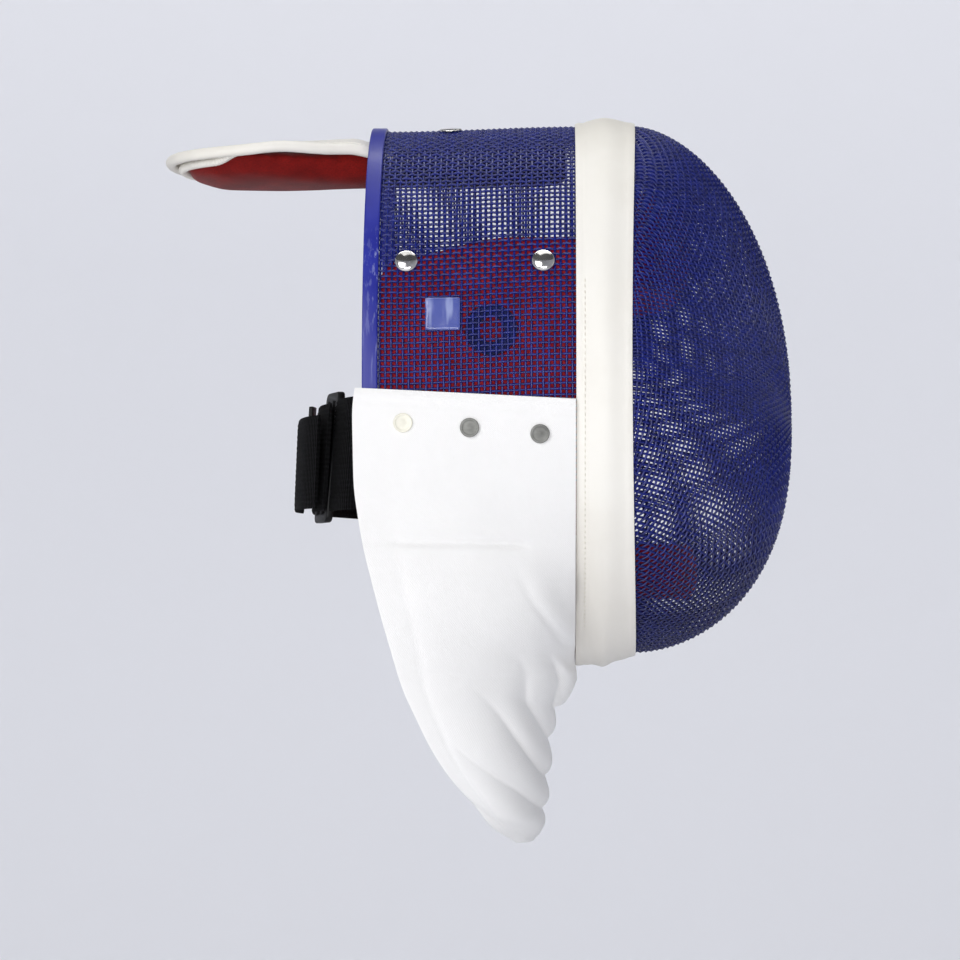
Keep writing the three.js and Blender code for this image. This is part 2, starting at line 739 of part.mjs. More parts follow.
// A flat plate with rounded corners, from its back face at zero forwards
function plate(width, height, corner, depth) {
  const [w, h] = [width / 2 - corner, height / 2 - corner];
  const shape = new THREE.Shape();
  shape.moveTo(-w, -h - corner);
  shape.absarc(w, -h, corner, -Math.PI / 2, 0);
  shape.absarc(w, h, corner, 0, Math.PI / 2);
  shape.absarc(-w, h, corner, Math.PI / 2, Math.PI);
  shape.absarc(-w, -h, corner, Math.PI, 1.5 * Math.PI);
  return new THREE.ExtrudeGeometry(shape, { depth, bevelEnabled: false, curveSegments: 3 });
}

// Webbing that stands on edge along a plan path
function webbing(plan, steps, width = strapWidth, thick = strapWall) {
  const curve = new THREE.CatmullRomCurve3(plan.map(strapPlace));
  const sections = [];
  for (let i = 0; i <= steps; i++) {
    const p = curve.getPointAt(i / steps);
    const t = curve.getTangentAt(i / steps);
    const n = new THREE.Vector3(t.y, -t.x, 0);
    sections.push([[-1, -1], [1, -1], [1, 1], [-1, 1]].map(([a, b]) =>
      new THREE.Vector3(p.x, p.y, strapZ).addScaledVector(n, a * thick / 2)
        .add(new THREE.Vector3(0, 0, b * width / 2))));
  }
  return loft(sections);
}

// Strap slide: an upright frame with a middle bar, lying along the strap
function slide() {
  const geometry = plate(slideLength, slideHeight, slideCorner, slideWall);
  geometry.translate(0, 0, -slideWall / 2);
  const slot = (slideLength - 3 * slideBar) / 2;
  let solid = toManifold(geometry);
  for (const side of [-1, 1]) {
    const hole = new THREE.BoxGeometry(slot, strapWidth + slideSlotEase, slideWall * 2);
    hole.translate(side * (slideBar + slot) / 2, 0, 0);
    solid = solid.subtract(toManifold(hole));
  }
  return fromManifold(solid);
}

// Assembly

add("front_mesh", frontMesh(), blueWire);
add("side_mesh", sideMesh(), blueWire);
add("band", band(), creamVinyl);
add("rear_rim", rearRim(), blueBinding);
add("bib", bib(), whiteCloth);

for (const [hand, side] of [[-1, "right"], [1, "left"]]) {
  const { point, outward } = sideAt(earX, earZ, hand);
  const seat = point.clone().addScaledVector(outward, -(meshWall + clothFit + fit + earRingWall));
  const cutter = ringAt(earOuterR + fit, earInnerR - fit, earRingWall + 4);
  cutter.translate(0, 0, -fit);
  cutter.applyMatrix4(facing(seat, outward));
  add(`side_pad_${side}`, fromManifold(toManifold(sidePad(hand)).subtract(toManifold(cutter))), redFelt);
  add(`ear_ring_${side}`, ringAt(earOuterR, earInnerR, earRingWall), navyFelt, facing(seat, outward));
}
add("forehead_pad", crossPad({
  topZ: foreheadTopZ, lowerZ: foreheadLowerZ, frontX: foreheadX, thick: foreheadWall }), redFelt);
add("chin_pad", crossPad({
  topZ: chinPadTopZ, lowerZ: chinPadLowerZ, frontX: chinPadX, thick: chinPadWall }), redFelt);

add("tongue_cover", tongueCover(), creamVinyl);
add("tongue_piping", tonguePiping(), creamVinyl);
add("tongue_pad", tonguePad(), redFelt);

for (const [hand, side] of [[-1, "right"], [1, "left"]]) {
  meshRivetX.forEach((x, i) => {
    const { point, outward } = sideAt(x, meshRivetZ, hand);
    const seat = facing(point.addScaledVector(outward, 2 * fit), outward);
    add(`mesh_rivet_${side}_${i + 1}`, rivet(rivetR, rivetHeight), chrome, seat);
  });
  const top = sideAt(tongueRivetX, crownZ(tongueRivetX, tongueRivetY), hand);
  add(`tongue_rivet_${side}`, rivet(rivetR, rivetHeight), chrome,
    facing(top.point.addScaledVector(top.outward, 2 * fit), top.outward));
}

const right = sideAt(tagX, tagZ, -1);
const tagTurn = new THREE.Matrix4().makeBasis(
  new THREE.Vector3(1, 0, 0), new THREE.Vector3().crossVectors(right.outward, new THREE.Vector3(1, 0, 0)),
  right.outward);
tagTurn.setPosition(right.point.clone().addScaledVector(right.outward, 2 * fit));
add("seal_plate", plate(tagWidth, tagHeight, tagCorner, tagWall), blueTag, tagTurn);

// Snaps through the bib near its hem
for (const [hand, side] of [[-1, "right"], [1, "left"]]) {
  snapX.forEach((x, i) => {
    const { point, outward } = bibAt(x, snapZ[i], hand);
    const seat = facing(point.addScaledVector(outward, fit), outward);
    add(`bib_snap_${side}_${i + 1}`, snap(), i === 0 ? creamSnap : greySnap, seat);
  });
}

// Back strap on plan, from inside the right rear edge round to inside the left one: shares of its reach
// behind the side mesh, and of the half width at which it lies inside the binding
const strapSeat = sideHalfWidth - meshWall - fit - rimWall - clothFit - strapWall / 2;
const strapAnchor = [
  { back: -0.267, out: -1 },
  { back: -0.133, out: -1 },
  { back: 0, out: -1 },
  { back: 0.111, out: -0.985 },
  { back: 0.267, out: -0.919 },
  { back: 0.4, out: -0.796 },
  { back: 0.467, out: -0.684 },
  { back: 0.567, out: -0.551 },
];
const strapRound = [
  { back: 0.598, out: -0.71 },
  { back: 0.784, out: -0.479 },
  { back: 0.889, out: -0.255 },
  { back: 0.911, out: 0 },
  { back: 0.844, out: 0.286 },
  { back: 0.667, out: 0.592 },
  { back: 0.378, out: 0.847 },
  { back: 0.244, out: 0.934 },
  { back: 0.111, out: 0.985 },
  { back: 0, out: 1 },
  { back: -0.133, out: 1 },
  { back: -0.267, out: 1 },
];
const strapFold = [
  { back: 0.7, out: -0.664 },
  { back: 0.86, out: -0.48 },
  { back: 0.964, out: -0.255 },
  { back: 0.989, out: 0 },
  { back: 0.956, out: 0.163 },
];
const strapEnd = [
  { back: 0.953, out: 0.174 },
  { back: 0.924, out: 0.265 },
];
const slidePlace = { back: 0.622, out: -0.582 };

function strapPlace({ back, out }) {
  return new THREE.Vector3(sideRearX - back * strapReach, out * strapSeat, 0);
}

add("strap_anchor", webbing(strapAnchor, 10), blackWebbing);
add("strap_round", webbing(strapRound, 20), blackWebbing);
add("strap_fold", webbing(strapFold, 8, strapFoldWidth), blackWebbing);
add("strap_tab", webbing(strapEnd, 1, tabWidth, tabWall), blackPlastic);

// The slide lies along the first stretch of the strap that goes round.
const slideAlong = strapPlace(strapRound[1]).sub(strapPlace(strapRound[0])).normalize();
const slideUp = new THREE.Vector3(0, 0, 1);
const slideTurn = new THREE.Matrix4().makeBasis(
  slideAlong, slideUp, new THREE.Vector3().crossVectors(slideAlong, slideUp));
slideTurn.setPosition(strapPlace(slidePlace).setZ(strapZ));
add("strap_slide", slide(), blackPlastic, slideTurn);

export default mask;
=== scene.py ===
import math

import bmesh
import bpy
import numpy as np
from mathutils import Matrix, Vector


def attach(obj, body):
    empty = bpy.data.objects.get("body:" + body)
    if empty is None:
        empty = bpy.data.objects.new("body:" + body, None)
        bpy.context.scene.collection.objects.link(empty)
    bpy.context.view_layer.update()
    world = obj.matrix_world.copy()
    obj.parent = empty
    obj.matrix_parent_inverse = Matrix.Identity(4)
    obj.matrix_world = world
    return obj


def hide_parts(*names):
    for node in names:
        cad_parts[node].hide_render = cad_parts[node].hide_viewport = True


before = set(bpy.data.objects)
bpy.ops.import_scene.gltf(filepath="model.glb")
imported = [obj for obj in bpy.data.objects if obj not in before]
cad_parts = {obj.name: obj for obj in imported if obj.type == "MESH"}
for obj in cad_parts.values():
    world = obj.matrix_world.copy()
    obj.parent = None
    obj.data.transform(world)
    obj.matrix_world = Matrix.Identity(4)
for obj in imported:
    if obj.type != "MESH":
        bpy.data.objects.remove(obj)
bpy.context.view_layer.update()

mm = 0.001
scene = bpy.context.scene
print("frame loaded:", len(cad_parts), "nodes")

# Value and Graph write shader and geometry nodes as expressions


# A socket that adds Math nodes when it is used in an expression
class Value:
    def __init__(self, graph, socket):
        self.graph = graph
        self.socket = socket

    def math(self, operation, *others):
        sockets = dict(enumerate((self, *others)))
        return self.graph.add("ShaderNodeMath", {"operation": operation}, sockets)

    def __add__(self, other):
        return self.math("ADD", other)

    def __mul__(self, other):
        return self.math("MULTIPLY", other)

    __radd__ = __add__
    __rmul__ = __mul__


# A node tree in which every node comes from add
class Graph:
    def __init__(self, tree):
        self.tree = tree

    def add(self, kind, settings=None, sockets=None, out=0):
        node = self.tree.nodes.new(kind)
        for key, value in (settings or {}).items():
            setattr(node, key, value)
        for key, value in (sockets or {}).items():
            if isinstance(value, Value):
                self.tree.links.new(value.socket, node.inputs[key])
            else:
                node.inputs[key].default_value = value
        return Value(self, node.outputs[out]) if node.outputs else node

    def more(self, value, out):
        return Value(self, value.socket.node.outputs[out])

    def noise(self, vector, scale, detail=3.0, rough=0.5):
        return self.add("ShaderNodeTexNoise", None, {
            "Vector": vector, "Scale": scale, "Detail": detail, "Roughness": rough})

    def ease(self, value, low, high, start=0.0, end=1.0):
        return self.add("ShaderNodeMapRange", {"interpolation_type": "SMOOTHSTEP"}, {
            0: value, 1: low, 2: high, 3: start, 4: end})

    def mixColour(self, factor, a, b, blend="MIX"):
        return self.add("ShaderNodeMix", {"data_type": "RGBA", "blend_type": blend}, {
            0: factor, 6: a, 7: b}, out=2)

    def stretch(self, vector, scale):
        return self.add("ShaderNodeVectorMath", {"operation": "MULTIPLY"}, {0: vector, 1: scale})

    def kept(self, name, kind):
        return self.add("GeometryNodeInputNamedAttribute", {"data_type": kind}, {"Name": name})

    def split(self, vector):
        x = self.add("ShaderNodeSeparateXYZ", None, {0: vector})
        return x, self.more(x, 1), self.more(x, 2)


# A screen colour of 0 to 255 as a linear one
def linear(r, g, b):
    out = []
    for c in (r, g, b):
        c = c / 255
        out.append(c / 12.92 if c < 0.04045 else ((c + 0.055) / 1.055) ** 2.4)
    return (*out, 1.0)


# A material whose paint function returns the varying sockets; fixed ones are set on the shader
def material(name, paint, **fixed):
    made = bpy.data.materials.new(name)
    made.use_nodes = True
    made.node_tree.nodes.clear()
    graph = Graph(made.node_tree)
    place = graph.add("ShaderNodeTexCoord", out="Object")
    varying = paint(graph, place)
    bump = varying.pop("height", None)
    if bump is not None:
        height, strength, distance = bump
        varying["Normal"] = graph.add("ShaderNodeBump", None, {
            "Height": height, "Strength": strength, "Distance": distance})
    shader = graph.add("ShaderNodeBsdfPrincipled", None, {**fixed, **varying})
    graph.add("ShaderNodeOutputMaterial", None, {"Surface": shader})
    return made


# Millimetres along a piece's own surface, kept on its points
def surface(graph):
    return graph.add("ShaderNodeAttribute", {"attribute_name": "flat"}, out="Vector")


# Materials

tints = {  # screen colours of 0 to 255: the two of the ground, then what lies over them
    "wire": ((9, 20, 92), (17, 32, 122)), "wireWorn": (40, 54, 136), "wireShadeLow": (6, 12, 56),
    "vinyl": ((243, 240, 232), (233, 229, 219)), "vinylShadeLow": (206, 202, 196),
    "binding": ((29, 36, 140), (39, 48, 156)), "bindingScratch": (178, 186, 226),
    "cloth": ((248, 247, 245), (240, 239, 237)), "clothSlub": (228, 227, 224),
    "tag": ((78, 90, 164), (58, 68, 142)), "tagPaintedGlint": (165, 176, 218),
    "webbing": ((5, 5, 6), (15, 15, 16)), "crownShade": (14, 16, 40)}
zones = {  # heights and lengths in metres between which a colour changes: painted shade at the bottom of the wire and the vinyl and inside the crown lining, wear on the binding
    "wireShadeLow": (-0.17, -0.25), "vinylShadeLow": (-0.16, -0.262), "wornFoot": (-0.125, -0.108),
    "wornHead": (-0.030, -0.052), "wornFront": (-0.0555, -0.0520), "crownShade": (-0.064, -0.058)}


def tint(name):
    return linear(*tints[name])


def ground(graph, factor, name):
    return graph.mixColour(factor, *[linear(*colour) for colour in tints[name]])


def paintWire(graph, place):
    speck = graph.noise(place, 260.0, 2.0)
    wear = graph.ease(graph.noise(place, 35.0, 3.0), 0.56, 0.74)
    colour = ground(graph, graph.ease(speck, 0.3, 0.7), "wire")
    colour = graph.mixColour(wear * 0.35, colour, tint("wireWorn"))
    # Painted shade: the wire turns darker towards the bottom of the mask, where its lower front lies in
    # shadow
    low = graph.ease(graph.split(place)[2], *zones["wireShadeLow"])
    colour = graph.mixColour(low * 0.6, colour, tint("wireShadeLow"))
    return {"Base Color": colour, "Roughness": 0.24 + speck * 0.16, "height": (speck, 0.08, 0.0004)}


def paintVinyl(graph, place):
    grain = graph.noise(place, 900.0, 2.0)
    cloud = graph.noise(place, 14.0, 4.0)
    crease = graph.noise(graph.stretch(place, (1.0, 0.35, 0.35)), 70.0, 3.0)
    # Painted shade: the vinyl turns greyer towards the bottom, where the joint strip turns down under the
    # chin
    low = graph.ease(graph.split(place)[2], *zones["vinylShadeLow"])
    colour = ground(graph, graph.ease(cloud, 0.3, 0.75), "vinyl")
    colour = graph.mixColour(low * 0.45, colour, tint("vinylShadeLow"))
    return {"Base Color": colour, "Roughness": 0.42 + cloud * 0.18,
            "height": (crease * 0.8 + grain * 0.2, 0.22, 0.0011)}


def paintBinding(graph, place):
    x, _, z = graph.split(place)
    scratch = graph.noise(graph.stretch(place, (500.0, 500.0, 26.0)), 1.0, 3.0, 0.6)
    worn = graph.ease(z, *zones["wornFoot"]) * graph.ease(z, *zones["wornHead"])
    front = graph.ease(x, *zones["wornFront"])
    streak = graph.ease(scratch, 0.52, 0.64) * worn * (front * 0.75 + 0.2)
    cloud = graph.noise(place, 30.0, 3.0)
    colour = ground(graph, graph.ease(cloud, 0.35, 0.7), "binding")
    colour = graph.mixColour(streak * 0.75, colour, tint("bindingScratch"))
    return {"Base Color": colour, "Roughness": 0.34 + cloud * 0.12 + streak * 0.2,
            "height": (cloud + scratch * 0.2, 0.12, 0.002)}


def paintCloth(graph, place):
    flat = surface(graph)
    u, v, _ = graph.split(flat)
    weave = (u * 6.0).math("SINE") * (v * 6.0).math("SINE")
    slub = graph.noise(graph.stretch(flat, (0.25, 1.6, 1.0)), 1.0, 3.0)
    cloud = graph.noise(place, 9.0, 4.0)
    fold = graph.noise(place, 38.0, 3.0)
    colour = ground(graph, graph.ease(cloud, 0.3, 0.75), "cloth")
    colour = graph.mixColour(graph.ease(slub, 0.62, 0.8) * 0.25, colour, tint("clothSlub"))
    return {"Base Color": colour, "Roughness": 0.86 + cloud * 0.1,
            "height": (weave * 0.16 + slub * 0.22 + fold * 0.9, 0.3, 0.0012)}


def paintLining(dark, mid, bright):
    def paint(graph, place):
        fuzz = graph.noise(place, 1400.0, 3.0, 0.7)
        nap = graph.noise(place, 60.0, 4.0)
        cloud = graph.noise(place, 16.0, 2.0)
        colour = graph.mixColour(graph.ease(nap, 0.3, 0.7), linear(*mid), linear(*bright))
        colour = graph.mixColour(graph.ease(fuzz, 0.35, 0.6, 0.5, 0.0), colour, linear(*dark))
        return {"Base Color": colour, "Roughness": 0.88 + fuzz * 0.1,
                "height": (fuzz * 0.3 + nap * 0.5 + cloud * 0.6, 0.35, 0.0012)}
    return paint


# Painted shade: a darker copy of the red felt for the tongue's lining, which lies in shadow under the tongue,
# turning near-black blue from the rear binding forwards, inside the mask
def paintShadedCrownLining(graph, place):
    red = paintLining((58, 6, 6), (112, 13, 11), (136, 22, 18))(graph, place)
    insideShade = graph.ease(graph.split(place)[0], *zones["crownShade"])
    return {**red, "Base Color": graph.mixColour(insideShade, red["Base Color"], tint("crownShade"))}


def paintMetal(shade, rough, brushed):
    def paint(graph, place):
        fine = graph.noise(graph.stretch(place, (1.0, 1.0, brushed)), 420.0, 3.0)
        smear = graph.noise(place, 90.0, 2.0)
        darker = linear(*[c * 0.82 for c in shade])
        colour = graph.mixColour(graph.ease(smear, 0.4, 0.75), linear(*shade), darker)
        return {"Base Color": colour, "Roughness": rough + fine * rough * 0.7,
                "height": (fine, 0.05, 0.0003)}
    return paint


def paintPlastic(shade, rough, fleck=0.06):
    def paint(graph, place):
        cloud = graph.noise(place, 160.0, 4.0)
        fine = graph.noise(place, 1100.0, 2.0)
        pale = [min(c * (1 + fleck) + fleck * 20, 255) for c in shade]
        colour = graph.mixColour(graph.ease(cloud, 0.35, 0.7), linear(*shade), linear(*pale))
        return {"Base Color": colour, "Roughness": rough + cloud * 0.12,
                "height": (cloud * 0.5 + fine * 0.5, 0.08, 0.0005)}
    return paint


def paintTag(graph, place):
    # Painted sheen: the film shifts between a paler and a darker blue in long bands, and the pale streaks
    # over them are painted glints
    sheen = graph.noise(graph.stretch(place, (46.0, 20.0, 70.0)), 1.0, 2.0, 0.55)
    streak = graph.noise(graph.stretch(place, (150.0, 60.0, 24.0)), 1.0, 2.0)
    colour = ground(graph, graph.ease(sheen, 0.42, 0.6), "tag")
    colour = graph.mixColour(graph.ease(streak, 0.58, 0.7) * 0.6, colour, tint("tagPaintedGlint"))
    return {"Base Color": colour, "Roughness": 0.12 + sheen * 0.14, "height": (sheen, 0.25, 0.003)}


def paintWebbing(graph, place):
    flat = surface(graph)
    u, v, _ = graph.split(flat)
    ribs = (u * 3.2).math("SINE") * 0.6 + (v * 2.4).math("SINE") * 0.4
    lint = graph.noise(place, 500.0, 3.0)
    colour = ground(graph, graph.ease(ribs + lint, 0.1, 1.2), "webbing")
    return {"Base Color": colour, "Roughness": 0.72 + lint * 0.2, "height": (ribs + lint * 0.5, 0.6, 0.0006)}


feltShine = {"Sheen Weight": 0.1, "Sheen Roughness": 0.4, "Specular IOR Level": 0.2}
blueWire = material("blue_wire", paintWire, **{
    "Coat Weight": 0.12, "Coat Roughness": 0.2, "Specular IOR Level": 0.35})
creamVinyl = material("cream_vinyl", paintVinyl, **{"Specular IOR Level": 0.45})
blueBinding = material("blue_binding", paintBinding, **{
    "Coat Weight": 0.15, "Coat Roughness": 0.2, "Specular IOR Level": 0.35})
whiteCloth = material("white_cloth", paintCloth, **{"Sheen Weight": 0.25, "Sheen Roughness": 0.5})
redLining = material("red_felt", paintLining((96, 14, 20), (172, 32, 42), (196, 50, 58)), **feltShine)
shadedCrownLining = material("red_felt_crown_shaded", paintShadedCrownLining, **feltShine)
navyLining = material("navy_felt", paintLining((12, 14, 44), (24, 28, 80), (40, 46, 110)), **{
    "Sheen Weight": 0.3, "Sheen Roughness": 0.4})
chromeFinish = material("chrome", paintMetal((232, 230, 226), 0.09, 1.0), Metallic=1.0)
greySnapFinish = material("grey_snap", paintMetal((150, 150, 145), 0.5, 5.0), Metallic=0.6)
creamSnapFinish = material("cream_plastic", paintPlastic((232, 229, 214), 0.38))
tagFinish = material("blue_tag", paintTag, **{"Coat Weight": 0.8, "Coat Roughness": 0.05})
webbingFinish = material("black_webbing", paintWebbing, **{"Specular IOR Level": 0.08})
blackPlastic = material("black_plastic", paintPlastic((7, 7, 8), 0.42, 0.05), **{"Specular IOR Level": 0.25})
threadFinish = material("cream_thread", paintPlastic((222, 217, 205), 0.6))
print("materials made")

# The mask's outline in millimetres, the same as its frame's. A power is that of a superellipse.

hoop = {"widestZ": -106.0, "halfWidth": 106.0, "crown": 139.0, "jaw": 157.0,
        "crownPower": 1.9, "jawPower": 1.8}
dome = {"startX": 86.0, "noseX": 175.0, "noseZ": -135.0, "skirt": 60.0,
        "side": (1.5, 0.82), "up": (2.2, 0.57), "down": (2.5, 0.52)}  # powers of the fall and of the swell
nudge = 1e-3  # a small step on a surface, to measure its slope
side = {"rearX": -58.0, "joinX": 70.0, "bandX": 53.5, "halfWidth": 104.0, "lowerZ": -204.0, "slopeX": 26.0,
        "rimWidth": 10.5, "crownFall": 2.5}


def smooth(t):
    t = np.clip(t, 0.0, 1.0)
    return t * t * (3 - 2 * t)


def mix(a, b, t):
    return a + (b - a) * t


# Vectors of length 1, over the last axis
def unit(vectors):
    return vectors / np.maximum(np.linalg.norm(vectors, axis=-1, keepdims=True), 1e-9)


# The length of a line up to each of its points
def runAlong(line):
    return np.concatenate([[0], np.linalg.norm(np.diff(line, axis=0), axis=1).cumsum()])


# Unit normals of a surface that is a function of two coordinates
def surfaceNormal(point, a, b):
    e = nudge
    return unit(np.cross(point(a + e, b) - point(a - e, b), point(a, b + e) - point(a, b - e)))


# Two grids of shares from 0 to 1, one that grows down the rows and one along the columns
def shareGrids(rows, columns):
    return np.meshgrid(np.linspace(0, 1, rows), np.linspace(0, 1, columns), indexing="ij")


# A point of the hoop after a share of a turn from the crown, clockwise as seen from behind
def hoopPoint(turn, x, halfWidth=None, crown=None):
    half = hoop["halfWidth"] if halfWidth is None else halfWidth
    rise = hoop["crown"] if crown is None else crown
    angle = turn * 2 * np.pi
    s, c = np.sin(angle), np.cos(angle)
    power = np.where(c > 0, hoop["crownPower"], hoop["jawPower"])
    y = -np.sign(s) * half * np.abs(s) ** (2 / power)
    z = hoop["widestZ"] + np.where(c > 0, rise, -hoop["jaw"]) * np.abs(c) ** (2 / power)
    return np.stack(np.broadcast_arrays(x * 1.0, y, z), -1)


# The hoop's half width at a height
def hoopHalf(z, halfWidth=None):
    half = hoop["halfWidth"] if halfWidth is None else halfWidth
    above = z > hoop["widestZ"]
    share = np.clip(np.abs(z - hoop["widestZ"]) / np.where(above, hoop["crown"], hoop["jaw"]), 0, 1)
    power = np.where(above, hoop["crownPower"], hoop["jawPower"])
    return half * (1 - share ** power) ** (1 / power)


# The face mesh from flat coordinates round the nose: 1 is where the dome meets the joint strip
def domePoint(p, q):
    u = np.hypot(p, q)
    safe = np.where(u > 1e-9, u, 1.0)
    s, c = np.where(u > 1e-9, -p / safe, 0.0), np.where(u > 1e-9, q / safe, 1.0)
    power = np.where(c > 0, hoop["crownPower"], hoop["jawPower"])
    edgeY = -np.sign(s) * hoop["halfWidth"] * np.abs(s) ** (2 / power)
    edgeZ = hoop["widestZ"] + np.where(c > 0, hoop["crown"], -hoop["jaw"]) * np.abs(c) ** (2 / power)
    fall = mix(dome["side"][0], np.where(c > 0, dome["up"][0], dome["down"][0]), c * c)
    swell = mix(dome["side"][1], np.where(c > 0, dome["up"][1], dome["down"][1]), c * c)
    forward = np.cos(np.clip(u, 0, 1) * np.pi / 2)
    out = np.clip(1 - forward ** (1 / swell), 0, 1) ** (1 / fall)
    x = mix(dome["startX"], dome["noseX"], forward) - np.clip(u - 1, 0, None) * dome["skirt"]
    return np.stack([x, edgeY * out, mix(dome["noseZ"], edgeZ, out)], -1)


# From 0 at the rear binding to 1 at the joint strip, where the side mesh has the hoop's shape
def sideJoined(x):
    return smooth((x - side["rearX"] - side["rimWidth"]) / (side["bandX"] - side["rearX"] - side["rimWidth"]))


def sideCrown(x):
    return hoop["crown"] - side["crownFall"] * (1 - sideJoined(x))


# The side mesh: v runs from the right lower edge over the crown to the left one
def sidePoint(x, v):
    x, v = np.broadcast_arrays(np.asarray(x, float), np.asarray(v, float))
    hand = np.where(v < 0.5, -1.0, 1.0)
    down = np.abs(v - 0.5) * 2
    joined = sideJoined(x)
    half = mix(side["halfWidth"], hoop["halfWidth"], joined)
    top = hoopPoint(np.minimum(down, 0.5) * 0.5, x, half, sideCrown(x))
    lower = mix(side["lowerZ"], hoop["widestZ"] - hoop["jaw"],
                smooth((x - side["slopeX"]) / (side["bandX"] - side["slopeX"])))
    z = mix(hoop["widestZ"], lower, np.abs(np.cos(np.maximum(down, 0.5) * np.pi)) ** (2 / hoop["jawPower"]))
    y = mix(half, hoopHalf(z, half), joined)
    upper = down < 0.5
    across = hand * np.where(upper, np.abs(top[..., 1]), y)
    return np.stack([x, across, np.where(upper, top[..., 2], z)], -1)


# Unit normals of a grid of points, whose rows run forwards and columns from right to left
def normals(points, ringV=False):
    du = np.gradient(points, axis=0)
    if ringV:
        padded = np.concatenate([points[:, -1:], points, points[:, :1]], 1)
        dv = np.gradient(padded, axis=1)[:, 1:-1]
    else:
        dv = np.gradient(points, axis=1)
    return unit(np.cross(du, dv))


# Mesh making


def addObject(name, data):
    piece = bpy.data.objects.new(name, data)
    scene.collection.objects.link(piece)
    return piece


def makeMesh(name, points, faces, finish, flat=None, sharp=35.0):
    mesh = bpy.data.meshes.new(name)
    mesh.from_pydata((np.asarray(points) * mm).tolist(), [], faces)
    if flat is not None:
        layer = mesh.attributes.new("flat", "FLOAT_VECTOR", "POINT")
        layer.data.foreach_set("vector", np.asarray(flat, np.float32).ravel())
    piece = addObject(name, mesh)
    tidyMesh(piece)
    mesh.materials.append(finish)
    shadeSoft(mesh, sharp)
    return piece


# Smooth shading, with hard lines where faces meet at more than an angle in degrees
def shadeSoft(mesh, sharp):
    mesh.shade_smooth()
    mesh.set_sharp_from_angle(angle=math.radians(sharp))


# Merges corners that meet, drops what has no area and turns every face outwards
def tidyMesh(piece):
    work = bmesh.new()
    work.from_mesh(piece.data)
    bmesh.ops.remove_doubles(work, verts=work.verts, dist=2e-6)
    bmesh.ops.dissolve_degenerate(work, edges=work.edges, dist=1e-6)
    bmesh.ops.recalc_face_normals(work, faces=work.faces)
    if work.calc_volume(signed=True) < 0:
        bmesh.ops.reverse_faces(work, faces=work.faces)
    work.to_mesh(piece.data)
    work.free()


def gridFaces(rows, columns, start=0, ring=False, flip=False):
    faces = []
    width = columns
    for i in range(rows - 1):
        for j in range(columns if ring else columns - 1):
            a, b = start + i * width + j, start + i * width + (j + 1) % width
            face = (a, a + width, b + width, b)
            faces.append(face[::-1] if flip else face)
    return faces


# A closed wall between two grids of the same size. A ring joins its first and last columns
def wallMesh(name, outer, inner, finish, ring=False, flat=None, sharp=35.0):
    rows, columns = outer.shape[:2]
    count = rows * columns
    points = np.concatenate([outer.reshape(-1, 3), inner.reshape(-1, 3)])
    faces = gridFaces(rows, columns, 0, ring) + gridFaces(rows, columns, count, ring, True)
    for i in (0, rows - 1):
        for j in range(columns if ring else columns - 1):
            a, b = i * columns + j, i * columns + (j + 1) % columns
            faces.append((a, b, b + count, a + count))
    if not ring:
        for j in (0, columns - 1):
            for i in range(rows - 1):
                a, b = i * columns + j, (i + 1) * columns + j
                faces.append((a, b, b + count, a + count))
    if flat is not None:
        flat = np.concatenate([flat.reshape(-1, 3), flat.reshape(-1, 3)])
    return makeMesh(name, points, faces, finish, flat, sharp)


# Closed sections joined in order, with flat ends
def sweepMesh(name, loops, finish, sharp=35.0):
    rows, columns = loops.shape[:2]
    faces = gridFaces(rows, columns, 0, True)
    faces += [tuple(range(columns)), tuple(range((rows - 1) * columns, rows * columns))]
    return makeMesh(name, loops.reshape(-1, 3), faces, finish, sharp=sharp)


def finishPiece(piece, slotName, *nodes):
    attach(piece, "root")
    if nodes:
        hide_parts(*nodes)
    return piece


# Distance along a grid's rows and columns, in millimetres, as a pattern's coordinates
def runLengths(points):
    du = np.linalg.norm(np.diff(points, axis=0, prepend=points[:1]), axis=-1).cumsum(0)
    dv = np.linalg.norm(np.diff(points, axis=1, prepend=points[:, :1]), axis=-1).cumsum(1)
    return np.stack([du, dv, np.zeros_like(du)], -1)


# Geometry Nodes


# A Geometry Nodes tree with the named inputs, as (tree, graph, group input)
def geometryTree(name, inputs):
    tree = bpy.data.node_groups.new(name, "GeometryNodeTree")
    tree.interface.new_socket("Geometry", in_out="OUTPUT", socket_type="NodeSocketGeometry")
    tree.interface.new_socket("Geometry", in_out="INPUT", socket_type="NodeSocketGeometry")
    for label, (kind, value) in inputs.items():
        made = tree.interface.new_socket(label, in_out="INPUT", socket_type=kind)
        if value is not None:
            made.default_value = value
    graph = Graph(tree)
    group = graph.add("NodeGroupInput", out="Geometry")
    return tree, graph, lambda label: Value(graph, group.socket.node.outputs[label])


# Every tree ends in Realize Instances and Set Material
def endTree(graph, geometry, finish):
    real = graph.add("GeometryNodeRealizeInstances", None, {0: geometry})
    painted = graph.add("GeometryNodeSetMaterial", None, {"Geometry": real, "Material": finish})
    out = graph.tree.nodes.new("NodeGroupOutput")
    graph.tree.links.new(painted.socket, out.inputs[0])


# Runs a tree on an object and keeps the result as a plain mesh of the given name
def applyTree(name, source, tree, values, finish):
    modifier = source.modifiers.new("nodes", "NODES")
    modifier.node_group = tree
    for item in tree.interface.items_tree:
        if item.in_out == "INPUT" and item.name in values:
            modifier[item.identifier] = values[item.name]
    bpy.context.view_layer.update()
    evaluated = source.evaluated_get(bpy.context.evaluated_depsgraph_get())
    mesh = bpy.data.meshes.new_from_object(evaluated)
    mesh.name = name
    source.modifiers.remove(modifier)
    bpy.data.objects.remove(source)
    piece = addObject(name, mesh)
    if not mesh.materials:
        mesh.materials.append(finish)
    return piece


